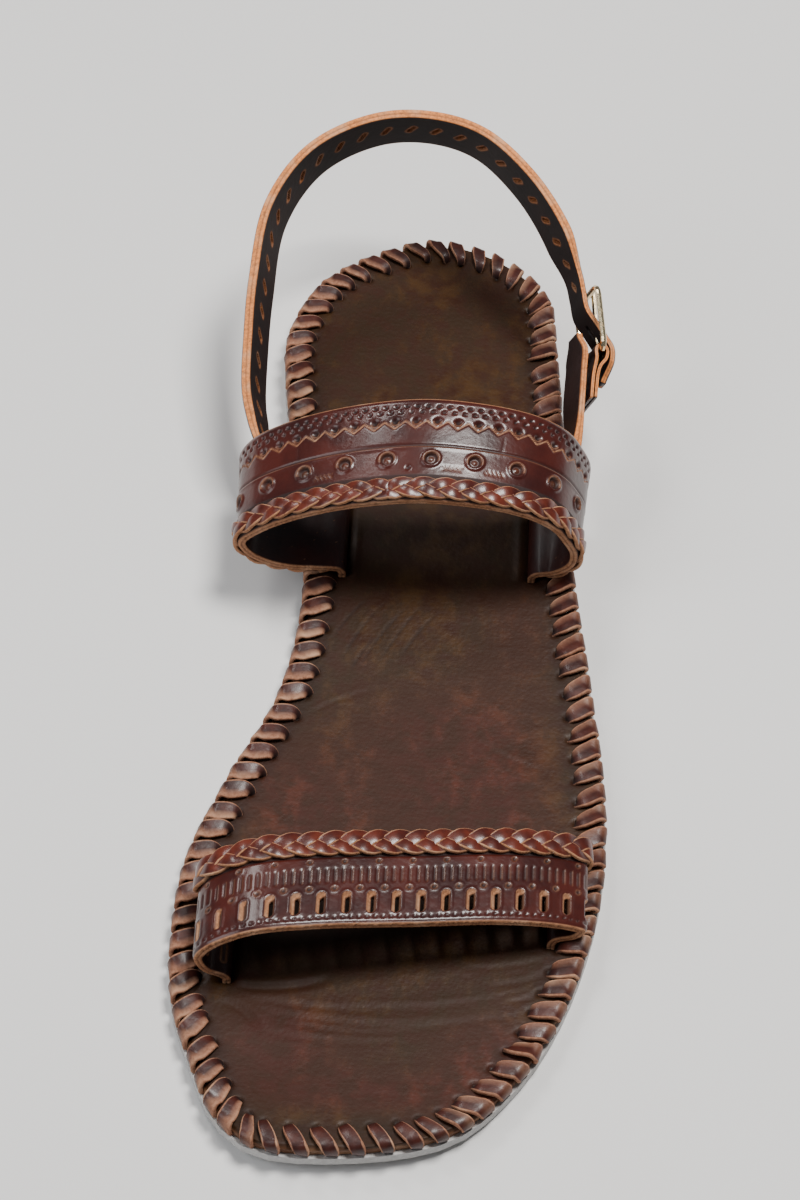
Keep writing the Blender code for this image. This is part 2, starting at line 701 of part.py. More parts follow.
def ribbon(rows, count, upper, lower, wall):
    """Rings of a strap standing on edge along the heel loop, and its middle line's frames.

    `upper` and `lower` give the edges' distances below the loop's line and `wall` the thickness, each
    for a share of the strap's length.
    """
    nodes = [(*loop_top(across, along), flare) for across, along, flare in rows]
    line = spline(nodes, count, measured=3)
    rings, frames = [], []
    for k in range(count):
        share = k / (count - 1)
        down = loop_down(line[k, 3])
        before, after = line[max(k - 1, 0), :3], line[min(k + 1, count - 1), :3]
        along = unit(after - before)
        normal = unit(np.cross(along, down))
        over, under = line[k, :3] + down * upper(share), line[k, :3] + down * lower(share)
        side = normal * wall(share) / 2
        rings.append([over + side, under + side, under - side, over - side])
        frames.append((line[k, :3] + down * HEEL_STRAP_WIDTH / 2, along, down, normal))
    return rings, frames


def make_heel_strap(group, tools):
    """Strap round the heel, tucked into the instep strap in front, with a narrow tail in the buckle."""
    spare = (HEEL_STRAP_WIDTH - HEEL_STRAP_TAIL_WIDTH) / 2

    def tail(share):
        return ramp(share, 0.80, 0.86)

    def tip(share):
        return 0.3 * HEEL_STRAP_TAIL_WIDTH * ramp(share, 0.975, 1.0)

    def upper(share):
        return spare * tail(share) + tip(share)

    def lower(share):
        tucked = (HEEL_STRAP_WIDTH - TUCKED_END_WIDTH) * (1 - ramp(share, 0.02, 0.085))
        return HEEL_STRAP_WIDTH - tucked - spare * tail(share) - tip(share)

    def wall(share):
        full = HEEL_STRAP_WALL - (HEEL_STRAP_WALL - TUCKED_END_WALL) * (1 - ramp(share, 0.02, 0.085))
        return full - (HEEL_STRAP_WALL - HEEL_STRAP_TAIL_WALL) * tail(share)

    count = 65
    rings, frames = ribbon(HEEL_LOOP, count, upper, lower, wall)
    made = add_object("heel_strap", loft(rings), group)
    line = np.array([frame[0] for frame in frames])
    run = np.concatenate([[0.0], np.cumsum(np.linalg.norm(np.diff(line, axis=0), axis=1))])
    chosen = []
    for n in range(HEEL_SLOT_COUNT):
        target = 0.46 * run[-1] + (n - (HEEL_SLOT_COUNT - 1) / 2) * HEEL_SLOT_PITCH
        nearest = int(np.clip(np.searchsorted(run, target), 1, count - 1))
        share = (target - run[nearest - 1]) / (run[nearest] - run[nearest - 1])
        here, there = frames[nearest - 1], frames[nearest]
        chosen.append(tuple(a * (1 - share) + b * share for a, b in zip(here, there)))
    outline = oval(HEEL_SLOT_WIDTH, HEEL_SLOT_LENGTH, HEEL_SLOT_SLANT)
    cut(made, punches("heel_slot_cutter", chosen, outline, -HEEL_STRAP_WALL, HEEL_STRAP_WALL, tools))
    return made


def make_buckle_strap(group):
    """Short strap from inside the instep strap to the buckle, lying behind it and thicker in front."""
    def lower(share):
        return TUCKED_END_WIDTH + (BUCKLE_STRAP_WIDTH - TUCKED_END_WIDTH) * ramp(share, 0.1, 0.5)

    def wall(share):
        return HEEL_STRAP_WALL + (BUCKLE_STRAP_WALL - HEEL_STRAP_WALL) * ramp(share, 0.15, 0.5)

    rings, _ = ribbon(BUCKLE_STRAP_PATH, 15, lambda share: 0.0, lower, wall)
    return add_object("buckle_strap", loft(rings), group)


def buckle_axes():
    """Hinge bar's centre and the buckle's directions: towards the heel, down the strap and outwards."""
    top = loop_top(HINGE_ACROSS, HINGE_ALONG)
    down = loop_down(-0.25)
    slope, turn = math.atan(HEEL_STRAP_SLOPE), math.radians(BUCKLE_TURN)
    along = unit(np.array([-math.sin(turn), math.cos(turn) * math.cos(slope), math.sin(slope)]))
    down = unit(down - along * float(down @ along))
    out = unit(np.cross(down, along))
    if out[0] < 0:
        out = -out
    return top + down * HEEL_STRAP_WIDTH / 2, along, down, out


def wire(name, points, diameter, cyclic, group):
    """A wire along the points, made a mesh with welded caps."""
    curve = bpy.data.curves.new(name, "CURVE")
    curve.dimensions = "3D"
    curve.bevel_depth = diameter / 2
    curve.bevel_resolution = 2
    curve.use_fill_caps = not cyclic
    line = curve.splines.new("POLY")
    line.points.add(len(points) - 1)
    for target, point in zip(line.points, points):
        target.co = (*point, 1.0)
    line.use_cyclic_u = cyclic
    shape = bpy.data.objects.new(name + "_curve", curve)
    group.objects.link(shape)
    bpy.context.view_layer.update()
    mesh = bpy.data.meshes.new_from_object(shape.evaluated_get(bpy.context.evaluated_depsgraph_get()))
    bpy.data.objects.remove(shape)
    bm = bmesh.new()
    bm.from_mesh(mesh)
    bmesh.ops.remove_doubles(bm, verts=bm.verts, dist=0.01 * MM)
    bpy.data.meshes.remove(mesh)
    return add_object(name, bm, group)


def make_buckle_frame(group):
    """Rectangular wire frame with rounded corners: hinge bar in front, end bar behind."""
    hinge, along, down, _ = buckle_axes()
    half, corner = BUCKLE_HEIGHT / 2, BUCKLE_CORNER
    points = []
    for u, v, start in ((BUCKLE_LENGTH, -half, -90), (BUCKLE_LENGTH, half, 0), (0, half, 90), (0, -half, 180)):
        centre_u = u - corner if u else corner
        centre_v = v - corner if v > 0 else v + corner
        for step in range(5):
            angle = math.radians(start + 22.5 * step)
            spot = (centre_u + corner * math.cos(angle)) * along + (centre_v + corner * math.sin(angle)) * down
            points.append(hinge + spot)
    return wire("buckle_frame", points, BUCKLE_WIRE, True, group)


def make_buckle_loop(group, tools):
    """Leather turned round the hinge bar, both legs lying on the buckle strap."""
    hinge, along, down, out = buckle_axes()
    turn = BUCKLE_WIRE / 2 + CLEARANCE + BUCKLE_LOOP_WALL / 2
    step = BUCKLE_LOOP_WALL + CLEARANCE
    path = [(-BUCKLE_LOOP_LENGTH, -2.7 * turn), (-BUCKLE_LOOP_LENGTH / 2, -1.9 * turn), (-1.2 * turn, -1.05 * turn)]
    path += [(turn * math.sin(math.radians(a)), -turn * math.cos(math.radians(a))) for a in (0, 45, 90, 135, 180)]
    path += [(-1.4 * turn, 0.65 * turn), (-2.6 * turn, step - 1.2 * turn), (-BUCKLE_LOOP_LENGTH / 2, step - 1.85 * turn),
             (-BUCKLE_LOOP_LENGTH, step - 2.7 * turn)]
    line = spline(path, 26)
    rings = []
    for k in range(len(line)):
        before, after = line[max(k - 1, 0)], line[min(k + 1, len(line) - 1)]
        heading = unit(after - before)
        side = np.array([-heading[1], heading[0]]) * BUCKLE_LOOP_WALL / 2
        ring = []
        for offset, edge in ((side, -1), (side, 1), (-side, 1), (-side, -1)):
            u, n = line[k] + offset
            ring.append(hinge + along * u + out * n + down * edge * BUCKLE_LOOP_WIDTH / 2)
        rings.append(ring)
    made = add_object("buckle_loop", loft(rings), group)
    gap = PRONG_WIRE + 4 * CLEARANCE
    frames = [(hinge, along, down, out)]
    notch = [(-2.0 * turn, -gap / 2), (4 * turn, -gap / 2), (4 * turn, gap / 2), (-2.0 * turn, gap / 2)]
    cut(made, punches("notch_cutter", frames, notch, -4 * turn, 4 * turn, tools))
    return made


def make_buckle_prong(group, tools, heel_strap):
    """Prong from round the hinge bar, out through a hole in the heel strap and over the end bar."""
    hinge, along, down, out = buckle_axes()
    ring = (BUCKLE_WIRE + PRONG_WIRE) / 2 + CLEARANCE
    path = [(ring * math.cos(math.radians(10 - 27.5 * k)), ring * math.sin(math.radians(10 - 27.5 * k)))
            for k in range(11)]
    path += [
        (0.13 * BUCKLE_LENGTH, ring),
        (0.42 * BUCKLE_LENGTH, 0.93 * ring),
        (0.72 * BUCKLE_LENGTH, 0.95 * ring),
        (BUCKLE_LENGTH, 1.04 * ring),
        (1.08 * BUCKLE_LENGTH, ring),
    ]
    line = spline(path, 30)
    points = [hinge + along * u + out * n for u, n in line]
    made = wire("buckle_prong", points, PRONG_WIRE, False, group)
    hole = oval(2.4 * PRONG_WIRE, 7.6 * PRONG_WIRE, 90.0)
    place = hinge + along * 0.30 * BUCKLE_LENGTH
    frames = [(place, along, down, out)]
    reach = 2 * HEEL_STRAP_WALL
    cut(heel_strap, punches("prong_hole_cutter", frames, hole, -reach / 4, 1.5 * reach, tools))
    return made


def main():
    """Build the sandal."""
    clear_scene()
    sandal = collection("kolhapuri_sandal")
    tools = collection("cutters")
    make_outsole(sandal)
    make_heel_lift(sandal, tools)
    footbed = make_footbed(sandal)
    make_edge_lacing(sandal)
    make_toe_strap(sandal, tools, footbed)
    make_instep_strap(sandal, tools, footbed)
    heel_strap = make_heel_strap(sandal, tools)
    make_buckle_strap(sandal)
    make_buckle_loop(sandal, tools)
    make_buckle_frame(sandal)
    make_buckle_prong(sandal, tools, heel_strap)


main()
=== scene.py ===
"""Looks of the kolhapuri sandal: cut laces, plaits, punched straps, worn footbed, light and camera."""

import math

import bmesh
import bpy
import numpy as np
from mathutils import Euler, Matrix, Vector


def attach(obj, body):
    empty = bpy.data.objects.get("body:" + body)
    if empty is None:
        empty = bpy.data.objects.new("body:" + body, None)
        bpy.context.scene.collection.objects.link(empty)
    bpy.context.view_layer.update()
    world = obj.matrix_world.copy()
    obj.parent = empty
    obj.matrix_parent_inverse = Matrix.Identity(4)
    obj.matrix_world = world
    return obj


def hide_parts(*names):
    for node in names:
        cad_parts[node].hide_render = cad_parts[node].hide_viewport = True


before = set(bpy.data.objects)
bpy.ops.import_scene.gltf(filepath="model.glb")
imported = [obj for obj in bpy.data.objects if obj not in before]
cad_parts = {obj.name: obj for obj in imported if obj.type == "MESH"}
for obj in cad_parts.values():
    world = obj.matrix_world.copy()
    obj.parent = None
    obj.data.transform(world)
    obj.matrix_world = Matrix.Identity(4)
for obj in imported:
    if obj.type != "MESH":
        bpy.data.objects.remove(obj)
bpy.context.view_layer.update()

MM = 0.001
FINE = 1.0

# Sole, as in the CAD part
SOLE_LENGTH = 256.0 * MM
HEEL_WIDTH = 64.0 * MM
WAIST_WIDTH = 61.0 * MM
BALL_WIDTH = 90.0 * MM
TOE_WIDTH = 78.0 * MM
HEEL_LENGTH = 64.0 * MM
HEEL_BREAST_MARGIN = 6.0 * MM
HEEL_LIFT = 3.0 * MM
TOE_SPRING = 2.6 * MM
SLOPE_END = 0.60
SPRING_START = 0.84
CLEARANCE = 0.3 * MM
FOOTBED_BASE = 2.5 * MM
FOOTBED_THICKNESS = 2.2 * MM
DECK = FOOTBED_BASE + FOOTBED_THICKNESS
HEEL_BACK = HEEL_LENGTH / 2

# Lace over the edge
LACE_PITCH = 5.8 * MM
LACE_WIDTH = 3.1 * MM
LACE_SIDE_WIDTH = 4.2 * MM
LACE_THICKNESS = 1.0 * MM
LACE_SLANT = 0.46
LACE_HOLE_INSET = 6.0 * MM

# Foot straps
SLOT_SINK = 1.7 * MM
TOE_STRAP_AT = 0.812
TOE_STRAP_SKEW = 0.19
TOE_STRAP_DEPTH = 23.0 * MM
TOE_STRAP_HEIGHT = 17.4 * MM
TOE_MEDIAL_OVERHANG = -5.4 * MM
TOE_LATERAL_OVERHANG = -1.4 * MM
TOE_MEDIAL_SLOT_INSET = 11.2 * MM
TOE_LATERAL_SLOT_INSET = 8.0 * MM
INSTEP_STRAP_AT = 0.410
INSTEP_STRAP_SKEW = 0.03
INSTEP_STRAP_DEPTH = 25.4 * MM
INSTEP_FRONT_HEIGHT = 31.8 * MM
INSTEP_REAR_HEIGHT = 36.2 * MM
INSTEP_LEAN = 4.0 * MM
INSTEP_MEDIAL_OVERHANG = 14.4 * MM
INSTEP_LATERAL_OVERHANG = -0.8 * MM
INSTEP_REAR_FLARE = 1.2 * MM
INSTEP_MEDIAL_SLOT_INSET = 8.2 * MM
INSTEP_LATERAL_SLOT_INSET = 9.6 * MM
STRAP_WALL = 2.0 * MM

# Plait of three flat strands
TOE_PLAIT_WIDTH = 6.2 * MM
TOE_PLAIT_PITCH = 4.6 * MM
INSTEP_PLAIT_WIDTH = 5.3 * MM
INSTEP_PLAIT_PITCH = 4.9 * MM
STRAND_SHARE = 0.47
STRAND_THICKNESS = 0.9 * MM
PLAIT_RISE = 0.36 * MM

# Marks stamped in the toe strap, in millimetres, across from its front edge
TOE_SLOT_PITCH = 5.3
TOE_SLOT_COUNT = 20
TOE_SLOT_AT = 5.2
TOE_SLOTS_FROM = -26.0
TOE_DOT_PITCH = 1.7
TOE_DOT_AT = 1.55
TOE_BAR_PITCH = 1.77
TOE_FLOWER_AT = 8.7
TOE_BUD_PITCH = 7.3
TOE_BUD_AT = 15.4
TOE_PLAIT_FROM = 16.2

# Marks stamped in the instep strap, in millimetres, the punches, teeth and line from its rear edge
PUNCH_PITCH = 2.25
TOOTH_PITCH = 4.5
TOOTH_HOLE_AT = 5.75
TOOTH_LINE_AT = 7.6
RULED_LINE_AT = 12.0
EYELET_PITCH = 9.7
EYELET_COUNT = 11
EYELET_SHIFT = -1.1
EYELET_AT = 10.3
HATCH_AT = 8.0

# Heel strap and buckle
HEEL_STRAP_WIDTH = 14.0 * MM
HEEL_STRAP_WALL = 2.4 * MM
HEEL_STRAP_TAIL_WIDTH = 9.0 * MM
HEEL_STRAP_TAIL_WALL = 1.4 * MM
HEEL_STRAP_TOP = 53.6 * MM
HEEL_STRAP_SLOPE = 0.392
HEEL_LOOP_WIDTH = 81.0 * MM
HEEL_LOOP_LENGTH = 90.0 * MM
HEEL_LOOP_INSET = 3.0 * MM
TUCKED_END_WIDTH = 8.0 * MM
TUCKED_END_WALL = 1.8 * MM
BUCKLE_STRAP_WIDTH = 13.5 * MM
BUCKLE_STRAP_WALL = 1.4 * MM
BUCKLE_WIRE = 1.4 * MM
BUCKLE_TURN = 8.0
BUCKLE_LOOP_WIDTH = 12.5 * MM
BUCKLE_LOOP_WALL = 0.8 * MM
BUCKLE_LOOP_LENGTH = 11.5 * MM
BUCKLE_NOTCH_WIDTH = 2.3 * MM
HINGE_ACROSS = 1.0
HINGE_ALONG = 0.415

# Marks of the heel strap, in millimetres, across from its upper edge
HEEL_SLOT_PITCH = 6.1
HEEL_SLOT_COUNT = 27
HEEL_SLOT_WIDTH = 1.15
HEEL_SLOT_LENGTH = 3.7
HEEL_SLOT_SLANT = 32.0
HEEL_SLOT_AT = 6.6
HEEL_DOT_PITCH = 2.1
HEEL_DOT_AT = 11.3

# Camera, worked out from the photo and turned to the one shoe
CAMERA_PLACE = (-0.0022, -0.5883, 0.641)
CAMERA_TARGET = (-0.003, -0.084, 0.012)
CAMERA_PITCH = 50.0
CAMERA_YAW = 4.0
CAMERA_LENS = 108.0
FLOOR_REACH = 12.0

# Columns: name; place; size; power; colour.
LIGHTS = (
    ("key_light", (0.30, 0.02, 1.15), 0.36, 18.0, (1.0, 0.98, 0.95)),
    ("fill_light", (-0.85, -0.35, 0.75), 0.7, 6.0, (0.96, 0.98, 1.0)),
    ("rim_light", (-0.45, 0.45, 0.95), 0.25, 3.0, (1.0, 0.99, 0.97)),
)
LIGHT_AIM = (0.0, -0.1, 0.0)
SKY_TINT = (0.80, 0.84, 0.90, 1.0)
SKY_STRENGTH = 0.17

# The shapes that follow are the CAD part's, so that each piece sits on its solid.
# Columns: named width; share of the length from the heel's back; share of half that width.
OUTLINE = (
    ("heel", 0.000, 0.02),
    ("heel", 0.020, -0.39),
    ("heel", 0.062, -0.80),
    ("heel", 0.130, -1.02),
    ("heel", 0.210, -0.99),
    ("waist", 0.330, -0.88),
    ("waist", 0.440, -0.81),
    ("waist", 0.540, -0.93),
    ("ball", 0.640, -0.86),
    ("ball", 0.730, -1.02),
    ("ball", 0.850, -1.02),
    ("toe", 0.915, -1.04),
    ("toe", 0.965, -0.89),
    ("toe", 0.991, -0.69),
    ("toe", 0.995, -0.25),
    ("toe", 0.973, 0.33),
    ("toe", 0.921, 0.66),
    ("ball", 0.850, 0.785),
    ("ball", 0.740, 0.95),
    ("ball", 0.640, 0.97),
    ("waist", 0.520, 1.32),
    ("waist", 0.400, 1.18),
    ("heel", 0.260, 1.04),
    ("heel", 0.140, 0.97),
    ("heel", 0.065, 0.89),
    ("heel", 0.018, 0.55),
)

# Columns: share of half the span; rise of the front edge; rise of the rear edge.
TOE_ARCH = (
    (-0.955, 0.16, 0.16),
    (-0.99, 0.34, 0.34),
    (-1.00, 0.52, 0.52),
    (-0.94, 0.75, 0.75),
    (-0.74, 1.00, 1.00),
    (-0.43, 1.00, 1.00),
    (0.13, 0.78, 0.78),
    (0.52, 0.63, 0.63),
    (0.76, 0.46, 0.46),
    (0.92, 0.28, 0.28),
    (0.99, 0.14, 0.14),
    (0.95, 0.02, 0.02),
)
INSTEP_ARCH = (
    (-0.54, 0.00, 0.00),
    (-0.70, 0.01, 0.00),
    (-0.84, 0.07, 0.03),
    (-0.96, 0.20, 0.11),
    (-1.00, 0.35, 0.29),
    (-0.93, 0.48, 0.48),
    (-0.77, 0.65, 0.65),
    (-0.54, 0.81, 0.81),
    (-0.24, 0.94, 0.94),
    (0.06, 1.00, 1.00),
    (0.36, 0.965, 0.965),
    (0.59, 0.89, 0.89),
    (0.74, 0.80, 0.80),
    (0.87, 0.66, 0.66),
    (0.95, 0.485, 0.485),
    (1.00, 0.32, 0.32),
    (0.99, 0.155, 0.155),
    (0.90, 0.03, 0.03),
)

# Columns: share of half the loop's width; share of its length from the front; lean of the strap.
HEEL_LOOP = (
    (-0.85, 0.08, 0.20),
    (-0.93, 0.145, 0.22),
    (-0.975, 0.20, 0.25),
    (-1.012, 0.27, 0.25),
    (-1.022, 0.40, 0.25),
    (-1.015, 0.55, 0.25),
    (-0.95, 0.75, 0.20),
    (-0.73, 0.90, 0.14),
    (-0.38, 0.985, 0.07),
    (-0.05, 1.00, 0.00),
    (0.26, 0.965, -0.07),
    (0.54, 0.865, -0.14),
    (0.74, 0.745, -0.20),
    (0.87, 0.62, -0.25),
    (0.898, 0.572, -0.25),
    (0.923, 0.527, -0.25),
    (0.982, 0.49, -0.25),
    (1.032, 0.458, -0.25),
    (1.072, 0.43, -0.25),
    (1.076, 0.399, -0.25),
    (1.047, 0.349, -0.25),
)
BUCKLE_STRAP_PATH = (
    (0.832, 0.08, -0.06),
    (0.862, 0.145, -0.06),
    (0.885, 0.22, -0.16),
    (0.893, 0.30, -0.25),
    (0.897, 0.37, -0.25),
    (0.90, 0.404, -0.25),
    (0.886, 0.465, -0.25),
)

# Soft creases pressed into the footbed, in millimetres.
# Columns: start across and along, end across and along, bend sideways, half-width, depth.
CREASES = (
    (-33.0, -183.5, -13.0, -180.5, -1.2, 0.9, 0.34),
    (-34.0, -185.5, 20.0, -184.0, -3.0, 0.9, 0.07),
    (-30.0, -188.5, 26.0, -187.0, -3.5, 0.9, 0.08),
    (-24.0, -191.0, 12.0, -190.5, -2.5, 0.8, 0.07),
    (-10.0, -186.5, 30.0, -180.0, -2.0, 0.7, 0.055),
    (-28.0, -193.5, 6.0, -194.0, -2.0, 0.8, 0.06),
    (-36.0, -187.0, -27.0, -194.0, 1.2, 1.0, 0.22),
    (14.0, -176.0, 33.0, -172.0, -1.0, 0.7, 0.08),
    (20.0, -180.0, 35.0, -174.5, -1.0, 0.7, 0.08),
    (24.0, -184.0, 35.0, -178.0, -0.8, 0.7, 0.10),
    (-15.0, -96.0, -6.0, -80.0, 0.8, 0.42, 0.045),
    (-17.5, -91.0, -10.0, -79.0, 0.6, 0.42, 0.04),
    (-10.5, -97.0, -1.0, -81.0, 0.8, 0.42, 0.045),
    (-6.5, -96.0, 2.5, -80.0, 0.5, 0.42, 0.04),
    (-2.0, -95.0, 6.0, -82.0, 0.6, 0.42, 0.04),
    (-13.0, -99.0, -8.0, -90.0, 0.3, 0.42, 0.04),
    (-22.0, -112.0, -6.0, -104.0, 1.0, 0.6, 0.07),
    (16.0, -116.0, 30.0, -124.0, -1.0, 0.7, 0.06),
)

# Hollows that the foot has worn in the footbed, in millimetres.
# Columns: across, along, radius across, radius along, height.
HOLLOWS = (
    (1.0, 2.0, 17.0, 22.0, -0.55),
    (-4.0, -142.0, 26.0, 24.0, -0.50),
    (-26.0, -203.0, 9.0, 9.0, -0.35),
)

# Worn red-brown patches of the footbed against its olive brown, in millimetres.
# Columns: across, along, radius across, radius along, strength.
RED_PATCHES = (
    (-24.0, -138.0, 20.0, 24.0, 0.75),
    (14.0, -122.0, 22.0, 26.0, 0.8),
    (22.0, -150.0, 14.0, 16.0, 0.6),
    (-24.0, -196.0, 16.0, 12.0, 0.8),
    (20.0, -198.0, 14.0, 12.0, 0.9),
    (0.0, -208.0, 30.0, 6.0, 0.8),
    (24.0, -80.0, 9.0, 26.0, 0.4),
    (-14.0, -12.0, 10.0, 24.0, 0.3),
    (16.0, 12.0, 10.0, 12.0, 0.35),
)

WIDTHS = {"heel": HEEL_WIDTH, "waist": WAIST_WIDTH, "ball": BALL_WIDTH, "toe": TOE_WIDTH}


def ease(share):
    """A share held between 0 and 1, eased at both ends."""
    held = np.clip(share, 0.0, 1.0)
    return held * held * (3.0 - 2.0 * held)


def ramp(share, start, stop):
    """How far a share has gone from start to stop, eased."""
    return ease((share - start) / (stop - start))


def unit(vectors):
    """Vectors at length one."""
    return vectors / np.linalg.norm(vectors, axis=-1, keepdims=True)


def bump(distance, width):
    """A soft bell of height one at distance nought."""
    return np.exp(-(distance / width) ** 2)


def spline(points, count, closed=False, measured=2):
    """A smooth curve through the points, read off at equal distances along it."""
    rows = np.asarray(points, dtype=float)
    if closed:
        rows = np.vstack([rows[-1], rows, rows[0], rows[1]])
    else:
        rows = np.vstack([2 * rows[0] - rows[1], rows, 2 * rows[-1] - rows[-2]])
    gaps = np.sqrt(np.linalg.norm(np.diff(rows[:, :measured], axis=0), axis=1))
    knots = np.concatenate([[0.0], np.cumsum(gaps)])
    samples = []
    for k in range(len(rows) - 3):
        t0, t1, t2, t3 = knots[k:k + 4]
        p0, p1, p2, p3 = rows[k:k + 4]
        for t in np.linspace(t1, t2, 16, endpoint=False):
            a1 = (t1 - t) / (t1 - t0) * p0 + (t - t0) / (t1 - t0) * p1
            a2 = (t2 - t) / (t2 - t1) * p1 + (t - t1) / (t2 - t1) * p2
            a3 = (t3 - t) / (t3 - t2) * p2 + (t - t2) / (t3 - t2) * p3
            b1 = (t2 - t) / (t2 - t0) * a1 + (t - t0) / (t2 - t0) * a2
            b2 = (t3 - t) / (t3 - t1) * a2 + (t - t1) / (t3 - t1) * a3
            samples.append((t2 - t) / (t2 - t1) * b1 + (t - t1) / (t2 - t1) * b2)
    samples.append(rows[-2])
    samples = np.array(samples)
    steps = np.linalg.norm(np.diff(samples[:, :measured], axis=0), axis=1)
    run = np.concatenate([[0.0], np.cumsum(steps)])
    reads = np.linspace(0.0, run[-1], count, endpoint=not closed)
    return np.stack([np.interp(reads, run, column) for column in samples.T], axis=1)


def lift(y):
    """Height of the outsole's underside above the floor."""
    along = (HEEL_BACK - y) / SOLE_LENGTH
    slope_start = (HEEL_LENGTH + HEEL_BREAST_MARGIN) / SOLE_LENGTH
    slope = HEEL_LIFT * (1 - ramp(along, slope_start, SLOPE_END))
    spring = np.clip((along - SPRING_START) / (1 - SPRING_START), 0.0, 1.2)
    return slope + TOE_SPRING * spring ** 2


def deck(y):
    """Height of the footbed's upper face."""
    return lift(y) + DECK


def laced_edge(count):
    """The laced edge as a closed loop."""
    rows = [(across * WIDTHS[width] / 2, HEEL_BACK - along * SOLE_LENGTH)
            for width, along, across in OUTLINE]
    return spline(rows, count, closed=True)


def headings(loop):
    """Unit heading and inward direction at each point of a closed loop."""
    heading = unit(np.roll(loop, -1, axis=0) - np.roll(loop, 1, axis=0))
    return heading, np.stack([-heading[:, 1], heading[:, 0]], axis=1)


EDGE = laced_edge(1200)
HEADING, INWARD = headings(EDGE)


def edge_at(y, side):
    """Where the laced edge crosses y, on the side -1 of the big toe or the outer side 1."""
    points = EDGE[EDGE[:, 0] * side > 0]
    order = np.argsort(points[:, 1])
    return np.interp(y, points[order, 1], points[order, 0])


# Meshes

def add_mesh(name, points, faces, material, marks, node=None):
    """A piece that replaces a node of the shoe or is part of one, with values stored at its points."""
    mesh = bpy.data.meshes.new(name)
    mesh.from_pydata(np.asarray(points).tolist(), [], faces)
    bm = bmesh.new()
    bm.from_mesh(mesh)
    bmesh.ops.recalc_face_normals(bm, faces=bm.faces)
    bm.to_mesh(mesh)
    bm.free()
    for mark, values in marks.items():
        layer = mesh.attributes.new(mark, "FLOAT", "POINT")
        layer.data.foreach_set("value", np.asarray(values, dtype=np.float32).ravel())
    mesh.shade_smooth()
    mesh.materials.append(material)
    piece = bpy.data.objects.new(name, mesh)
    bpy.context.scene.collection.objects.link(piece)
    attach(piece, "root")
    if node:
        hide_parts(node)


def tube_faces(rings, around, first=0):
    """Faces of a tube closed at both ends, whose points run round ring after ring."""
    step, spot = np.meshgrid(np.arange(rings - 1), np.arange(around), indexing="ij")
    beside = (spot + 1) % around
    faces = np.stack([step * around + spot, (step + 1) * around + spot,
                      (step + 1) * around + beside, step * around + beside], axis=-1)
    faces = (faces.reshape(-1, 4) + first).tolist()
    faces.append((first + np.arange(around)).tolist())
    faces.append((first + (rings - 1) * around + np.arange(around)[::-1]).tolist())
    return faces


def shell_faces(rings, columns, rim, holes):
    """Faces of a strap: outer columns, rear rim, inner columns and front rim, with holes cut through."""
    around = 2 * columns + 2 * rim
    step, spot = np.meshgrid(np.arange(rings - 1), np.arange(around), indexing="ij")
    beside = (spot + 1) % around
    faces = np.stack([step * around + spot, (step + 1) * around + spot,
                      (step + 1) * around + beside, step * around + beside], axis=-1)
    keep = np.ones((rings - 1, around), dtype=bool)
    keep[:, :columns - 1] &= ~holes
    inner = columns + rim + columns - 2 - np.arange(columns - 1)
    keep[:, inner] &= ~holes
    faces = faces[keep].tolist()

    def outer_index(i, j):
        return i * around + j

    def inner_index(i, j):
        return i * around + columns + rim + columns - 1 - j

    padded = np.zeros((rings + 1, columns + 1), dtype=bool)
    padded[1:-1, 1:-1] = holes
    for i, j in np.argwhere(padded[:-1, 1:-1] != padded[1:, 1:-1]):
        faces.append([outer_index(i, j), outer_index(i, j + 1),
                      inner_index(i, j + 1), inner_index(i, j)])
    for i, j in np.argwhere(padded[1:-1, :-1] != padded[1:-1, 1:]):
        faces.append([outer_index(i, j), outer_index(i + 1, j),
                      inner_index(i + 1, j), inner_index(i, j)])
    faces.append(np.arange(around).tolist())
    faces.append(((rings - 1) * around + np.arange(around)[::-1]).tolist())
    return faces


class Sheet:
    """Middle surface of a strap, with distances along and across it."""

    def __init__(self, grid):
        self.grid = grid
        self.normal = unit(np.cross(np.gradient(grid, axis=0), np.gradient(grid, axis=1)))
        middle = grid[:, grid.shape[1] // 2]
        run = np.concatenate([[0.0], np.cumsum(np.linalg.norm(np.diff(middle, axis=0), axis=1))])
        self.length = run[-1]
        self.along = run - run[-1] / 2
        widths = np.linalg.norm(np.diff(grid, axis=1), axis=2)
        self.width = float(widths.sum(axis=1).max())
        self.share = np.linspace(0.0, 1.0, grid.shape[1])

    def places(self):
        """Distance along from the middle and across from the first edge, in millimetres, at each point."""
        return np.meshgrid(self.along / MM, self.share * self.width / MM, indexing="ij")

    def at(self, along, across, height):
        """Points at a height over the middle surface, and the normals there."""
        i = np.interp(along, self.along, np.arange(len(self.along)))
        j = np.clip(across / self.width, 0.0, 1.0) * (len(self.share) - 1)
        low_i, low_j = np.floor(i).astype(int), np.floor(j).astype(int)
        high_i = np.minimum(low_i + 1, len(self.along) - 1)
        high_j = np.minimum(low_j + 1, len(self.share) - 1)
        part_i, part_j = (i - low_i)[..., None], (j - low_j)[..., None]

        def blend(field):
            near = field[low_i, low_j] * (1 - part_j) + field[low_i, high_j] * part_j
            far = field[high_i, low_j] * (1 - part_j) + field[high_i, high_j] * part_j
            return near * (1 - part_i) + far * part_i

        normal = unit(blend(self.normal))
        return blend(self.grid) + normal * np.asarray(height)[..., None], normal


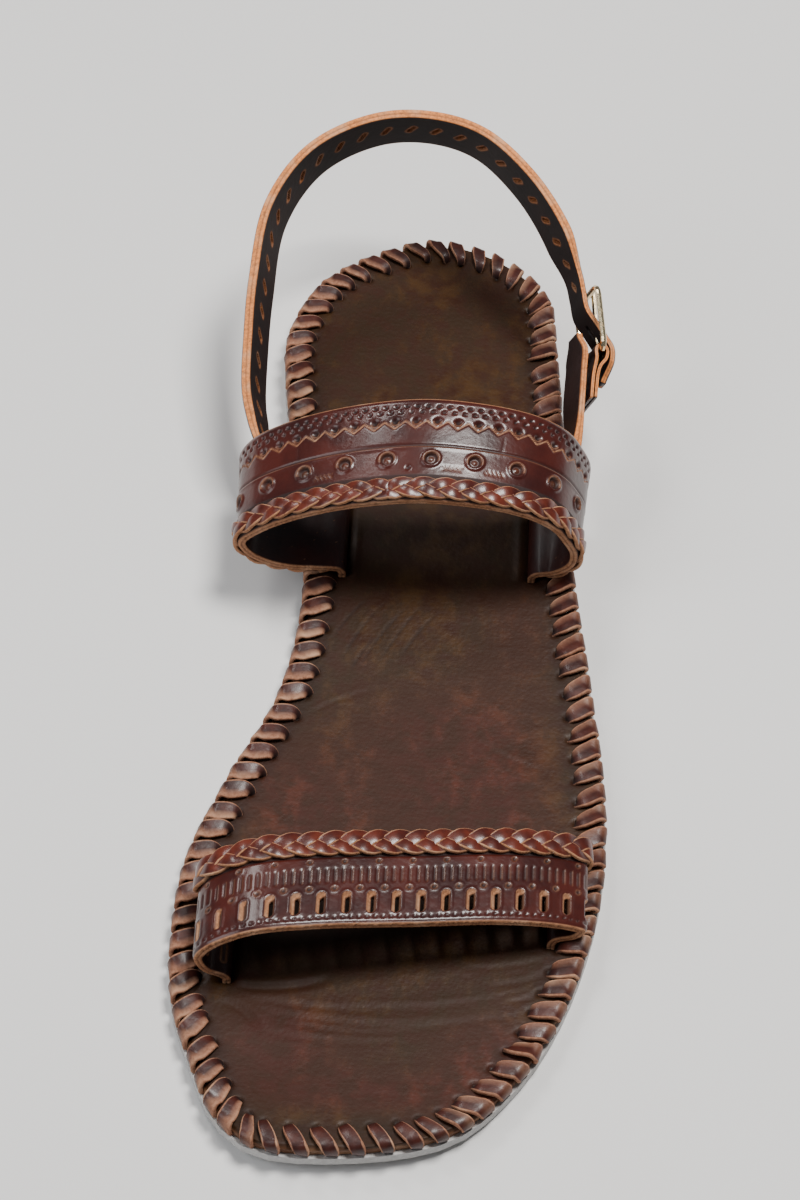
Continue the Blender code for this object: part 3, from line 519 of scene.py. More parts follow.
def strap_shell(name, sheet, wall, relief, marks, holes, material, node, edge_slack=0.0):
    """A strap with its punched outer face, plain inner face and raw edges in two layers."""
    rings, columns = sheet.grid.shape[:2]
    rim = 7
    half = np.broadcast_to(np.asarray(wall, dtype=float).reshape(-1, 1) / 2, (rings, columns))
    outer = sheet.grid + sheet.normal * (half + relief * MM)[..., None]
    inner = sheet.grid - sheet.normal * half[..., None]
    outwards = unit(np.gradient(sheet.grid, axis=1))
    t = (np.arange(rim) + 1) / (rim + 1)
    bulge = (0.10 * np.sin(math.pi * t) - 0.16 * bump(t - 0.5, 0.09)) * MM
    fray = np.random.default_rng(3).normal(0.0, 1.0, (rings, 1)) * edge_slack * MM
    swell = (bulge[None, :] + fray * np.sin(math.pi * t))[..., None]

    def rim_rows(column, sign):
        base = outer[:, None, column] * (1 - t)[None, :, None] + inner[:, None, column] * t[None, :, None]
        return base + sign * outwards[:, None, column] * swell

    rear = rim_rows(columns - 1, 1)
    front = rim_rows(0, -1)[:, ::-1]
    points = np.concatenate([outer, rear, inner[:, ::-1], front], axis=1).reshape(-1, 3)
    seam = np.broadcast_to(0.8 * bump(t - 0.5, 0.08)[None, :], (rings, rim))
    stored = {}
    for mark, (face, back) in marks.items():
        rims = seam
        if mark == "raw_and_highlight":
            rims = np.ones((rings, rim))
            face, back = face.copy(), back.copy()
            for side in (0, -1):
                face[:, side] = 1.0
                back[:, side] = 1.0
        stored[mark] = np.concatenate([face, rims, back[:, ::-1], rims[:, ::-1]], axis=1).ravel()
    add_mesh(name, points, shell_faces(rings, columns, rim, holes), material, stored, node)


def both_faces(raw_and_highlight, pit, raw_inside, pit_inside):
    """Rawness and pits over a strap's outer face and its inner face."""
    return {"raw_and_highlight": (raw_and_highlight, raw_inside), "pit": (pit, np.full_like(pit, pit_inside))}


def nearest(values, pitch, offset=0.0, count=None):
    """Signed distance from the nearest of a row of marks at an equal pitch about the middle."""
    if count is None:
        return (values - offset + pitch / 2) % pitch - pitch / 2
    spots = (np.arange(count) - (count - 1) / 2) * pitch + offset
    which = np.abs(values[..., None] - spots).argmin(axis=-1)
    return values - spots[which]


def slot_distance(u, v, width, length, slant=0.0):
    """Distance outside a round-ended slot's outline, below zero inside it."""
    turn = math.radians(slant)
    across = u * math.cos(turn) + v * math.sin(turn)
    along = -u * math.sin(turn) + v * math.cos(turn)
    reach = length / 2 - width / 2
    return np.hypot(across, along - np.clip(along, -reach, reach)) - width / 2


def cells(field):
    """Mean of a field over the four corners of each cell."""
    return (field[:-1, :-1] + field[1:, :-1] + field[:-1, 1:] + field[1:, 1:]) / 4


# Materials

SCUFFED = (0.22, 0.10, 0.055, 1.0)
DEEP_SHADE = (0.006, 0.003, 0.003, 1.0)
DARK_FIBRE = (0.17, 0.062, 0.028, 1.0)
PALE_FIBRE = (0.68, 0.42, 0.26, 1.0)
# Dark tone that raw fibre takes in pits: painted shade.
SHADED_FIBRE = (0.07, 0.03, 0.02, 1.0)


def node_group(name, inputs, outputs):
    """An empty shader group with these sockets."""
    group = bpy.data.node_groups.new(name, "ShaderNodeTree")
    for label, kind, value in inputs:
        made = group.interface.new_socket(label, in_out="INPUT", socket_type="NodeSocket" + kind)
        made.default_value = value
    for label, kind in outputs:
        group.interface.new_socket(label, in_out="OUTPUT", socket_type="NodeSocket" + kind)
    return group, group.nodes.new("NodeGroupInput"), group.nodes.new("NodeGroupOutput")


class Wiring:
    """Short calls for making and joining shader nodes."""

    def __init__(self, tree):
        self.tree = tree

    def node(self, kind, **settings):
        made = self.tree.nodes.new("ShaderNode" + kind)
        for key, value in settings.items():
            setattr(made, key, value)
        return made

    def join(self, source, target):
        self.tree.links.new(source, target)

    def feed(self, target, value):
        if isinstance(value, bpy.types.NodeSocket):
            self.join(value, target)
        else:
            target.default_value = value

    def noise(self, place, scale, detail=4.0, roughness=0.55, stretch=None):
        if stretch:
            mapping = self.node("Mapping")
            mapping.inputs["Scale"].default_value = stretch
            self.join(place, mapping.inputs["Vector"])
            place = mapping.outputs["Vector"]
        made = self.node("TexNoise")
        made.inputs["Scale"].default_value = scale
        made.inputs["Detail"].default_value = detail
        made.inputs["Roughness"].default_value = roughness
        self.join(place, made.inputs["Vector"])
        return made.outputs["Fac"]

    def math(self, operation, first, second, clamp=False):
        made = self.node("Math", operation=operation, use_clamp=clamp)
        self.feed(made.inputs[0], first)
        self.feed(made.inputs[1], second)
        return made.outputs[0]

    def span(self, value, low, high, to_low=0.0, to_high=1.0):
        made = self.node("MapRange", interpolation_type="SMOOTHSTEP")
        for label, item in (("Value", value), ("From Min", low), ("From Max", high),
                            ("To Min", to_low), ("To Max", to_high)):
            self.feed(made.inputs[label], item)
        return made.outputs["Result"]

    def mix(self, factor, first, second, blend="MIX"):
        made = self.node("Mix", data_type="RGBA", blend_type=blend)
        self.feed(made.inputs["Factor"], factor)
        colours = [socket for socket in made.inputs if socket.type == "RGBA"]
        self.feed(colours[0], first)
        self.feed(colours[1], second)
        return [socket for socket in made.outputs if socket.type == "RGBA"][0]

    def mark(self, name):
        return self.node("Attribute", attribute_name=name).outputs["Fac"]


def leather_group():
    """Colour, gloss mask and surface height of dyed leather with raw cut edges and stamped pits; the raw
    mask also carries painted highlights and the pit mask paints shade.
    """
    group, given, put = node_group("dyed_leather", (
        ("Dye", "Color", (0.08, 0.02, 0.017, 1.0)),
        ("Second Dye", "Color", (0.14, 0.04, 0.025, 1.0)),
        ("Raw", "Color", (0.55, 0.30, 0.17, 1.0)),
        ("Raw Mask", "Float", 0.0),
        ("Pit Mask", "Float", 0.0),
        ("Mottle Size", "Float", 90.0),
        ("Grain Size", "Float", 900.0),
    ), (("Color", "Color"), ("Dull", "Float"), ("Height", "Float")))
    wires = Wiring(group)
    place = wires.node("TexCoord").outputs["Object"]
    raw_and_highlight_mask, pit_mask = given.outputs["Raw Mask"], given.outputs["Pit Mask"]
    mottle = wires.node("TexNoise")
    mottle.inputs["Detail"].default_value = 5.0
    wires.join(place, mottle.inputs["Vector"])
    wires.join(given.outputs["Mottle Size"], mottle.inputs["Scale"])
    grain = wires.node("TexVoronoi", feature="SMOOTH_F1")
    wires.join(place, grain.inputs["Vector"])
    wires.join(given.outputs["Grain Size"], grain.inputs["Scale"])
    pores = wires.noise(place, 2400.0, 2.0)
    scuffs = wires.span(wires.noise(place, 260.0, 6.0, 0.7), 0.62, 0.78)
    cloud = wires.span(mottle.outputs["Fac"], 0.35, 0.68)
    dye = wires.mix(cloud, given.outputs["Dye"], given.outputs["Second Dye"])
    dye = wires.mix(wires.math("MULTIPLY", scuffs, 0.14), dye, SCUFFED)
    # The pit mask paints shade: near black in stamped recesses, slots, holes and under plaits and laces; on
    # the footbed it also darkens a worn band by the lacing and fine crease lines.
    dye = wires.mix(wires.math("MULTIPLY", pit_mask, 0.85), dye, DEEP_SHADE)
    fibres = wires.noise(place, 1500.0, 3.0, 0.7)
    pale = wires.span(wires.noise(place, 160.0, 3.0), 0.45, 0.75, 0.0, 0.55)
    raw_and_highlight = wires.mix(wires.span(fibres, 0.3, 0.75, 0.0, 0.7), given.outputs["Raw"], DARK_FIBRE)
    raw_and_highlight = wires.mix(pale, raw_and_highlight, PALE_FIBRE)
    # Raw fibre in the pits takes painted shade too.
    raw_and_highlight = wires.mix(wires.math("MULTIPLY", pit_mask, 0.7), raw_and_highlight, SHADED_FIBRE)
    wires.join(wires.mix(raw_and_highlight_mask, dye, raw_and_highlight), put.inputs["Color"])
    dull = wires.math("ADD", wires.math("MULTIPLY", raw_and_highlight_mask, 0.9), wires.math("MULTIPLY", scuffs, 0.12))
    dull = wires.math("ADD", dull, wires.math("MULTIPLY", pit_mask, 0.8), clamp=True)
    wires.join(dull, put.inputs["Dull"])
    smooth = wires.math("ADD", wires.math("MULTIPLY", grain.outputs["Distance"], 0.6),
                        wires.math("MULTIPLY", pores, 0.35))
    rough = wires.math("MULTIPLY", fibres, wires.math("MULTIPLY", raw_and_highlight_mask, 2.2))
    wires.join(wires.math("ADD", smooth, rough), put.inputs["Height"])
    return group


def wear_group():
    """Mask of the footbed's red-brown wear and the height of its fine cross lines."""
    group, given, put = node_group("footbed_wear", (
        ("Patch Mask", "Float", 0.0),
        ("Line Depth", "Float", 0.5),
    ), (("Mask", "Float"), ("Height", "Float"), ("Rub", "Float")))
    wires = Wiring(group)
    place = wires.node("TexCoord").outputs["Object"]
    broad = wires.math("SUBTRACT", wires.noise(place, 30.0, 3.0, 0.5), 0.5)
    fine = wires.math("SUBTRACT", wires.noise(place, 210.0, 6.0, 0.65), 0.5)
    mixed = wires.math("ADD", given.outputs["Patch Mask"], wires.math("MULTIPLY", broad, 0.75))
    mixed = wires.math("ADD", mixed, wires.math("MULTIPLY", fine, 0.10), clamp=True)
    wires.join(wires.span(mixed, 0.15, 0.85), put.inputs["Mask"])
    lines = wires.noise(place, 330.0, 3.0, 0.6, (0.22, 1.0, 1.0))
    slanted = wires.noise(place, 520.0, 2.0, 0.6, (0.5, 0.3, 1.0))
    height = wires.math("ADD", lines, wires.math("MULTIPLY", slanted, 0.5))
    wires.join(wires.math("MULTIPLY", height, given.outputs["Line Depth"]), put.inputs["Height"])
    rubbed = wires.noise(place, 75.0, 6.0, 0.7, (1.0, 0.6, 1.0))
    wires.join(wires.span(rubbed, 0.42, 0.66), put.inputs["Rub"])
    return group


def sheet_group():
    """Colour and height of the outsole's pale sheet, with a little soil."""
    group, given, put = node_group("pale_sheet", (
        ("Base", "Color", (0.5, 0.5, 0.5, 1.0)),
        ("Soil", "Float", 0.4),
    ), (("Color", "Color"), ("Height", "Float")))
    wires = Wiring(group)
    place = wires.node("TexCoord").outputs["Object"]
    patches = wires.span(wires.noise(place, 55.0, 6.0, 0.65), 0.42, 0.75)
    soil = wires.math("MULTIPLY", patches, given.outputs["Soil"])
    speck = wires.noise(place, 1300.0, 3.0)
    tone = wires.mix(soil, given.outputs["Base"], (0.20, 0.16, 0.13, 1.0))
    tone = wires.mix(wires.span(speck, 0.35, 0.8, 0.0, 0.35), tone, (0.72, 0.71, 0.69, 1.0))
    wires.join(tone, put.inputs["Color"])
    pebbles = wires.math("MULTIPLY", wires.noise(place, 320.0), 0.8)
    wires.join(wires.math("ADD", speck, pebbles), put.inputs["Height"])
    return group


def new_material(name):
    """A material with its tree's wiring and its shader."""
    material = bpy.data.materials.new(name)
    material.use_nodes = True
    wires = Wiring(material.node_tree)
    return material, wires, material.node_tree.nodes["Principled BSDF"]


def use_group(wires, group, **values):
    """One use of a shader group with some inputs fed."""
    made = wires.node("Group", node_tree=group)
    for label, value in values.items():
        wires.feed(made.inputs[label.replace("_", " ")], value)
    return made


def add_bump(wires, shader, height, distance, strength=1.0):
    """Bump from a height, in metres at full strength."""
    made = wires.node("Bump")
    made.inputs["Strength"].default_value = strength
    made.inputs["Distance"].default_value = distance
    wires.join(height, made.inputs["Height"])
    wires.join(made.outputs["Normal"], shader.inputs["Normal"])


def leather(name, group, dye, second, raw_and_highlight, gloss, coat, bump_height=0.06 * MM, grain=900.0, mottle=90.0):
    """Dyed leather whose cut edges and stamped marks follow the piece's stored values."""
    material, wires, shader = new_material(name)
    tone = use_group(wires, group, Dye=dye, Second_Dye=second, Raw=raw_and_highlight, Raw_Mask=wires.mark("raw_and_highlight"),
                     Pit_Mask=wires.mark("pit"), Mottle_Size=mottle, Grain_Size=grain)
    wires.join(tone.outputs["Color"], shader.inputs["Base Color"])
    wires.join(wires.span(tone.outputs["Dull"], 0.0, 1.0, gloss, 0.85), shader.inputs["Roughness"])
    wires.join(wires.span(tone.outputs["Dull"], 0.1, 0.6, coat, 0.0), shader.inputs["Coat Weight"])
    shader.inputs["Coat Roughness"].default_value = 0.15
    shader.inputs["Specular IOR Level"].default_value = 0.36
    add_bump(wires, shader, tone.outputs["Height"], bump_height)
    return material


def footbed_material(leather_tones, wear):
    """Olive and red-brown footbed, darker by the lacing, rubbed lighter and glossier in random patches."""
    material, wires, shader = new_material("footbed_leather")
    worn = use_group(wires, wear, Patch_Mask=wires.mark("patch"), Line_Depth=0.8)
    rub = wires.span(worn.outputs["Rub"], 0.0, 1.0)
    olive = wires.mix(rub, (0.026, 0.0110, 0.0034, 1.0), (0.052, 0.0225, 0.0064, 1.0))
    red = wires.mix(rub, (0.040, 0.0092, 0.0046, 1.0), (0.068, 0.0165, 0.0082, 1.0))
    dye = wires.mix(worn.outputs["Mask"], olive, red)
    tone = use_group(wires, leather_tones, Dye=dye, Second_Dye=(0.030, 0.0090, 0.0032, 1.0),
                     Raw=(0.20, 0.09, 0.045, 1.0), Raw_Mask=wires.mark("raw_and_highlight"),
                     Pit_Mask=wires.mark("pit"), Mottle_Size=240.0, Grain_Size=1100.0)
    wires.join(tone.outputs["Color"], shader.inputs["Base Color"])
    wires.join(wires.span(worn.outputs["Rub"], 0.0, 1.0, 0.56, 0.44), shader.inputs["Roughness"])
    shader.inputs["Specular IOR Level"].default_value = 0.22
    height = wires.math("ADD", tone.outputs["Height"], worn.outputs["Height"])
    add_bump(wires, shader, height, 0.09 * MM)
    return material


def sheet_material(name, group, base, soil):
    """Matte pale sheet of the outsole and heel lift."""
    material, wires, shader = new_material(name)
    tone = use_group(wires, group, Base=base, Soil=soil)
    wires.join(tone.outputs["Color"], shader.inputs["Base Color"])
    shader.inputs["Roughness"].default_value = 0.78
    add_bump(wires, shader, tone.outputs["Height"], 0.10 * MM)
    return material


def wire_material():
    """Plated buckle wire with fine scratches and dull spots."""
    material, wires, shader = new_material("buckle_wire")
    place = wires.node("TexCoord").outputs["Object"]
    spots = wires.span(wires.noise(place, 420.0, 5.0, 0.7), 0.5, 0.75)
    tone = wires.mix(spots, (0.84, 0.69, 0.44, 1.0), (0.50, 0.34, 0.17, 1.0))
    wires.join(tone, shader.inputs["Base Color"])
    shader.inputs["Metallic"].default_value = 1.0
    wires.join(wires.span(spots, 0.0, 1.0, 0.20, 0.42), shader.inputs["Roughness"])
    add_bump(wires, shader, wires.noise(place, 1800.0, 3.0, 0.6, (1.0, 0.2, 1.0)), 0.02 * MM)
    return material


LEATHER = leather_group()
WEAR = wear_group()
SHEET = sheet_group()
# Raw edge tan, also the colour of the painted highlights on the straps.
RAW_TAN = (0.46, 0.215, 0.105, 1.0)
LACE_TAN = (0.35, 0.165, 0.100, 1.0)
HEEL_TAN = (0.84, 0.290, 0.080, 1.0)
STRAP_LEATHER = leather("strap_leather", LEATHER, (0.027, 0.0042, 0.0034, 1.0),
                        (0.062, 0.0100, 0.0062, 1.0), RAW_TAN, 0.30, 0.24)
PLAIT_LEATHER = leather("plait_leather", LEATHER, (0.048, 0.0068, 0.0040, 1.0),
                        (0.125, 0.0210, 0.0095, 1.0), RAW_TAN, 0.32, 0.26, mottle=220.0)
LACE_LEATHER = leather("lace_leather", LEATHER, (0.026, 0.0048, 0.0032, 1.0),
                       (0.058, 0.0112, 0.0062, 1.0), LACE_TAN, 0.42, 0.10, 0.09 * MM, mottle=260.0)
HEEL_LEATHER = leather("heel_strap_leather", LEATHER, (0.014, 0.0040, 0.0040, 1.0),
                       (0.034, 0.0085, 0.0070, 1.0), HEEL_TAN, 0.40, 0.12)
FOOTBED_LEATHER = footbed_material(LEATHER, WEAR)
OUTSOLE_SHEET = sheet_material("outsole_sheet", SHEET, (0.43, 0.42, 0.41, 1.0), 0.4)
LIFT_SHEET = sheet_material("heel_lift_sheet", SHEET, (0.40, 0.39, 0.38, 1.0), 0.5)
WIRE = wire_material()


# Sole

def sole_nodes():
    """Keep the CAD outsole, heel lift and buckle wires, rounded and with their looks."""
    for node, material, radius in (("outsole", OUTSOLE_SHEET, 0.35), ("heel_lift", LIFT_SHEET, 0.3)):
        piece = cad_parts[node]
        piece.data.materials.clear()
        piece.data.materials.append(material)
        bevel = piece.modifiers.new("worn_edge", "BEVEL")
        bevel.width = radius * MM
        bevel.segments = 3
        bevel.limit_method = "ANGLE"
        bevel.angle_limit = math.radians(50)
        bevel.harden_normals = False
    for node in ("buckle_frame", "buckle_prong"):
        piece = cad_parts[node]
        piece.data.materials.clear()
        piece.data.materials.append(WIRE)


def footbed_places():
    """Places over the footbed from the toe to the heel, and the distance from its edge."""
    loop = EDGE + INWARD * 0.55 * MM
    loop = np.roll(loop, -int(loop[:, 1].argmax()), axis=0)
    tip = int(loop[:, 1].argmin())
    big_toe_side, outer_side = loop[:tip + 1][::-1], loop[tip:]
    low, high = loop[tip, 1], loop[0, 1]
    stations, columns = int(500 / FINE), int(165 / FINE)
    turn = np.linspace(0.0, math.pi, stations)
    even = np.linspace(0.0, 1.0, stations)
    y = low + (high - low) * (0.8 * even + 0.2 * (1 - np.cos(turn)) / 2)
    y[0] += 0.02 * MM
    y[-1] -= 0.02 * MM
    medial = np.interp(y, big_toe_side[:, 1], big_toe_side[:, 0])
    lateral = np.interp(y, outer_side[:, 1], outer_side[:, 0])
    spread = np.linspace(-1.0, 1.0, columns)
    spread = 0.75 * spread + 0.25 * np.sin(spread * math.pi / 2)
    middle, half = (medial + lateral) / 2, (lateral - medial) / 2
    x = middle[:, None] + half[:, None] * spread[None, :]
    grid_y = np.broadcast_to(y[:, None], x.shape)
    sides = np.minimum(x - medial[:, None], lateral[:, None] - x)
    tips = np.minimum(grid_y - low, high - grid_y)
    return x, grid_y, np.minimum(sides, tips) / MM


def ovals(u, v, rows):
    """Soft ovals added up, from rows of place, radii and strength."""
    field = np.zeros_like(u)
    for across, along, wide, long, strength in rows:
        field += strength * bump(np.hypot((u - across) / wide, (v - along) / long), 1.0)
    return field


def creases(u, v):
    """Height and darkness of the creases pressed into the footbed."""
    height, dark = np.zeros_like(u), np.zeros_like(u)
    for x0, y0, x1, y1, bend, width, depth in CREASES:
        run = np.hypot(x1 - x0, y1 - y0)
        way_x, way_y = (x1 - x0) / run, (y1 - y0) / run
        share = ((u - x0) * way_x + (v - y0) * way_y) / run
        off = -(u - x0) * way_y + (v - y0) * way_x - bend * 4 * share * (1 - share)
        fade = ramp(share, -0.05, 0.2) * (1 - ramp(share, 0.7, 1.1))
        height += depth * (0.55 * bump(off - 1.9 * width, width) - bump(off, width)) * fade
        dark = np.maximum(dark, (width < 0.5) * 0.45 * bump(off, 0.9 * width) * fade)
    return height, dark


def strap_slots(u, v):
    """Height round the four slots that hold the foot straps, and painted shade in them."""
    height, dark = np.zeros_like(u), np.zeros_like(u)
    for x_slot, y_front, y_rear in slot_lines():
        inside = ramp(v, y_front - 0.6, y_front + 0.2) * (1 - ramp(v, y_rear - 0.2, y_rear + 0.6))
        height += (0.25 * bump(np.abs(u - x_slot) - 3.0, 1.0) - 0.9 * bump(u - x_slot, 1.5)) * inside
        dark = np.maximum(dark, 0.9 * bump(u - x_slot, 1.55) * inside)
    return height, dark


def lace_holes(u, v):
    """Height of the holes that the lace comes out of, and painted shade in them."""
    spots = wrap_places().astype(int) % len(EDGE)
    holes = EDGE[spots] + INWARD[spots] * LACE_HOLE_INSET - HEADING[spots] * LACE_SLANT * LACE_PITCH
    height, dark = np.zeros_like(u), np.zeros_like(u)
    for hole_x, hole_y in holes / MM:
        hole = bump(np.hypot(u - hole_x, v - hole_y), 0.75)
        height -= 0.8 * hole
        dark = np.maximum(dark, hole)
    return height, dark


def footbed():
    """Footbed with its foot-worn hollows, creases, strap slots and rounded edge under the lacing."""
    x, y, rim = footbed_places()
    u, v = x / MM, y / MM
    relief = ovals(u, v, HOLLOWS) - 0.9 * bump(rim, 0.7)
    pit = 0.35 * bump(rim - 5.5, 2.5)
    for height, dark in (creases(u, v), strap_slots(u, v), lace_holes(u, v)):
        relief += height
        pit = np.maximum(pit, dark)
    upper = np.stack([x, y, deck(y) + relief * MM], axis=-1)
    picks = np.linspace(0, x.shape[1] - 1, 12).astype(int)[::-1]
    under = np.stack([x, y, lift(y) + FOOTBED_BASE], axis=-1)[:, picks]
    points = np.concatenate([upper, under], axis=1)
    blank = np.zeros((len(x), len(picks)))
    marks = {"patch": np.concatenate([ovals(u, v, RED_PATCHES), blank], axis=1),
             "pit": np.concatenate([pit, blank], axis=1),
             "raw_and_highlight": np.concatenate([0.5 * bump(rim, 0.5), blank + 0.6], axis=1)}
    faces = tube_faces(len(x), points.shape[1])
    add_mesh("footbed_leather", points.reshape(-1, 3), faces, FOOTBED_LEATHER, marks, "footbed")


# Lacing

# Path of one wrap, from the hole in the footbed over the edge and under.
# Columns: share of the slant; distance in from the edge and height over the footbed in millimetres;
# share of the lace's width.
WRAP_PATH = (
    (1.04, 5.7, -1.1, 0.62),
    (1.02, 5.55, -0.2, 0.68),
    (0.98, 5.15, 0.5, 0.80),
    (0.86, 4.3, 0.86, 0.95),
    (0.60, 3.0, 1.00, 1.02),
    (0.32, 1.6, 0.92, 1.02),
    (0.12, 0.55, 0.62, 1.00),
    (0.0, 0.12, 0.0, 0.96),
    (-0.06, 0.12, -0.9, 0.92),
    (-0.10, 0.5, -1.75, 0.85),
    (-0.12, 1.5, -2.05, 0.80),
)

# Section of the flat lace. Columns: across and through, as shares; how raw the leather is.
LACE_SECTION = (
    (-0.44, 0.0, 1.0), (-0.5, 0.16, 1.0), (-0.5, 0.76, 1.0), (-0.45, 0.97, 1.0), (-0.385, 1.03, 0.0),
    (0.0, 1.08, 0.0),
    (0.385, 1.03, 0.0), (0.45, 0.97, 1.0), (0.5, 0.76, 1.0), (0.5, 0.16, 1.0), (0.44, 0.0, 1.0),
    (0.0, -0.05, 0.8),
)
SECTION_RAW = np.array([row[2] for row in LACE_SECTION])


def sweep(path, normal, widths, thickness, turned=0.0):
    """Rings of a flat lace along a path, its upper side towards the normal, one edge turned up."""
    ahead = unit(np.gradient(path, axis=0))
    across = unit(np.cross(ahead, normal))
    above = unit(np.cross(across, ahead))
    parts = np.array([row[:2] for row in LACE_SECTION])
    reach = parts[None, :, 0] * widths[:, None]
    through = (parts[None, :, 1] - 0.5) * thickness
    extra = turned * np.clip(-parts[None, :, 0] - 0.1, 0.0, 1.0) * 0.9 * thickness
    return (path[:, None] + across[:, None] * reach[..., None]
            + above[:, None] * (through + extra)[..., None])


def wrap_path(at, rows, slant, reach):
    """One wrap's path, its distances in from the edge and its heights over the footbed."""
    place, heading, inward = EDGE[at], HEADING[at], INWARD[at]
    depth, height = rows[:, 0] * MM, rows[:, 1] * MM
    depth = np.where(depth > 2 * MM, depth * reach, depth)
    side = rows[:, 2] * slant
    flat = place + heading * side[:, None] + inward * depth[:, None]
    return np.column_stack([flat, deck(flat[:, 1]) + height]), depth, height


def wrap_normal(at, depth, height, roll):
    """Where one wrap's upper side faces: up on the footbed, outwards at the edge, down below it."""
    heading, inward = HEADING[at], INWARD[at]
    out = np.array([-inward[0], -inward[1], 0.0])
    up = np.array([0.0, 0.0, 1.0])
    over = ease((1.9 * MM - depth) / (2.2 * MM))[:, None]
    dive = ease((height + 1.2 * MM) / (0.5 * MM))[:, None]
    below = (out * 0.4 - up * (depth < 3 * MM)[:, None]) * (1 - dive)
    normal = unit((up * (1 - over) + out * over) * dive + below)
    ahead = np.array([heading[0], heading[1], 0.0])
    return unit(normal + ahead * math.tan(roll) * (1 - over * 0.5))


def edge_turn(facing):
    """How far a wrap's raw edge is turned up, from how far the edge there faces the big toe side."""
    big_toe_side = float(ease(np.array((facing - 0.1) / 0.7)))
    return max(big_toe_side, 0.45 * float(ease(np.array((-facing - 0.3) / 0.5))))


def edge_lacing():
    """Each wrap of the whip lacing as its own twist of cut lace."""
    chance = np.random.default_rng(11)
    places = wrap_places()
    pitch = places[1] - places[0]
    steps = int(26 / FINE)
    points, faces, raw_and_highlight, pit = [], [], [], []
    rows = spline([(row[1], row[2], row[0], row[3]) for row in WRAP_PATH], steps)
    # Darker where the lace dives into its hole: painted shade.
    sunk_shade = bump(rows[:, 0] - 5.7, 0.55) * 0.9
    for spot in places:
        at = int(spot + chance.normal(0.0, 0.02) * pitch) % len(EDGE)
        facing = INWARD[at][0]
        turned = edge_turn(facing)
        bend = float(np.cross(HEADING[at - 12], HEADING[(at + 12) % len(EDGE)])) / (24 * LACE_PITCH / pitch)
        slant = -LACE_SLANT * LACE_PITCH * (1 + chance.normal(0.0, 0.12))
        path, depth, height = wrap_path(at, rows, slant, 1 + chance.normal(0.0, 0.035))
        normal = wrap_normal(at, depth, height, math.radians(chance.normal(0.0, 5.0) + 16 * turned))
        flank = float(ease(np.array((abs(facing) - 0.45) / 0.4)))
        full = LACE_WIDTH + (LACE_SIDE_WIDTH - LACE_WIDTH) * flank
        narrowed = np.clip(1 - bend * depth, 0.42, 1.0)
        widths = full * rows[:, 3] * narrowed * (1 + chance.normal(0.0, 0.05))
        rings = sweep(path, normal, widths, LACE_THICKNESS, turned)
        faces += tube_faces(steps, len(SECTION_RAW), len(points) * rings.shape[0] * rings.shape[1])
        points.append(rings.reshape(-1, 3))
        shown = np.tile(SECTION_RAW, (steps, 1))
        shown[:, 3:5] = np.maximum(shown[:, 3:5], turned)
        near_edge = turned * ease((1.5 * MM - depth) / (1.0 * MM))
        shown[:, 5] = np.maximum(shown[:, 5], near_edge * 0.5)
        raw_and_highlight.append(shown.ravel())
        pit.append(np.broadcast_to(sunk_shade[:, None], shown.shape).ravel())
    marks = {"raw_and_highlight": np.concatenate(raw_and_highlight), "pit": np.concatenate(pit)}
    add_mesh("lacing_wraps", np.concatenate(points), faces, LACE_LEATHER, marks, "edge_lacing")


# Foot straps

def arch_line(rows, rear, ends, slots, height, wall, count):
    """Middle line of one edge of a strap, slot to slot: distance across and height over the footbed."""
    skim = CLEARANCE + LACE_THICKNESS + CLEARANCE + wall / 2
    middle, half = (ends[0] + ends[1]) / 2, (ends[1] - ends[0]) / 2
    bend = ((0.0, -SLOT_SINK), (0.0, 0.0), (0.0, 0.35 * skim), (0.4 * wall, 0.85 * skim))
    path = [(slots[0] - out, rise) for out, rise in bend]
    path += [(middle + row[0] * half, skim + row[2 if rear else 1] * (height - skim)) for row in rows]
    path += [(slots[1] + out, rise) for out, rise in bend[::-1]]
    return spline(path, count)


def strap_sheet(front, rear, edge_y, depth, lean, height, columns):
    """Middle surface of a foot strap."""
    share = np.linspace(0.0, 1.0, columns)[None, :]
    x = front[:, :1] * (1 - share) + rear[:, :1] * share
    rise = front[:, 1:] * (1 - share) + rear[:, 1:] * share
    y = edge_y(x) + depth * share - lean * np.maximum(rise, 0.0) / height
    return Sheet(np.stack([x, y, deck(y) + rise], axis=-1))


def toe_ends():
    """Front edge's line, ends and slots of the toe strap."""
    middle_y = HEEL_BACK - TOE_STRAP_AT * SOLE_LENGTH

    def edge_y(x):
        return middle_y + TOE_STRAP_SKEW * x

    medial = edge_at(edge_y(-BALL_WIDTH / 2), -1)
    lateral = edge_at(edge_y(BALL_WIDTH / 2), 1)
    ends = (medial - TOE_MEDIAL_OVERHANG, lateral + TOE_LATERAL_OVERHANG)
    return edge_y, ends, (medial + TOE_MEDIAL_SLOT_INSET, lateral - TOE_LATERAL_SLOT_INSET)


def instep_ends():
    """Front edge's line, ends and slots of the instep strap."""
    middle_y = HEEL_BACK - INSTEP_STRAP_AT * SOLE_LENGTH

    def edge_y(x):
        return middle_y + INSTEP_STRAP_SKEW * x

    medial, lateral = edge_at(middle_y, -1), edge_at(middle_y, 1)
    ends = (medial - INSTEP_MEDIAL_OVERHANG, lateral + INSTEP_LATERAL_OVERHANG)
    return edge_y, ends, (medial + INSTEP_MEDIAL_SLOT_INSET, lateral - INSTEP_LATERAL_SLOT_INSET)


def wrap_places():
    """Index along the edge of each wrap of the lacing."""
    loop_length = float(np.linalg.norm(np.roll(EDGE, -1, axis=0) - EDGE, axis=1).sum())
    wraps = round(loop_length / LACE_PITCH)
    return (np.arange(wraps) + 1 / 6) * len(EDGE) / wraps


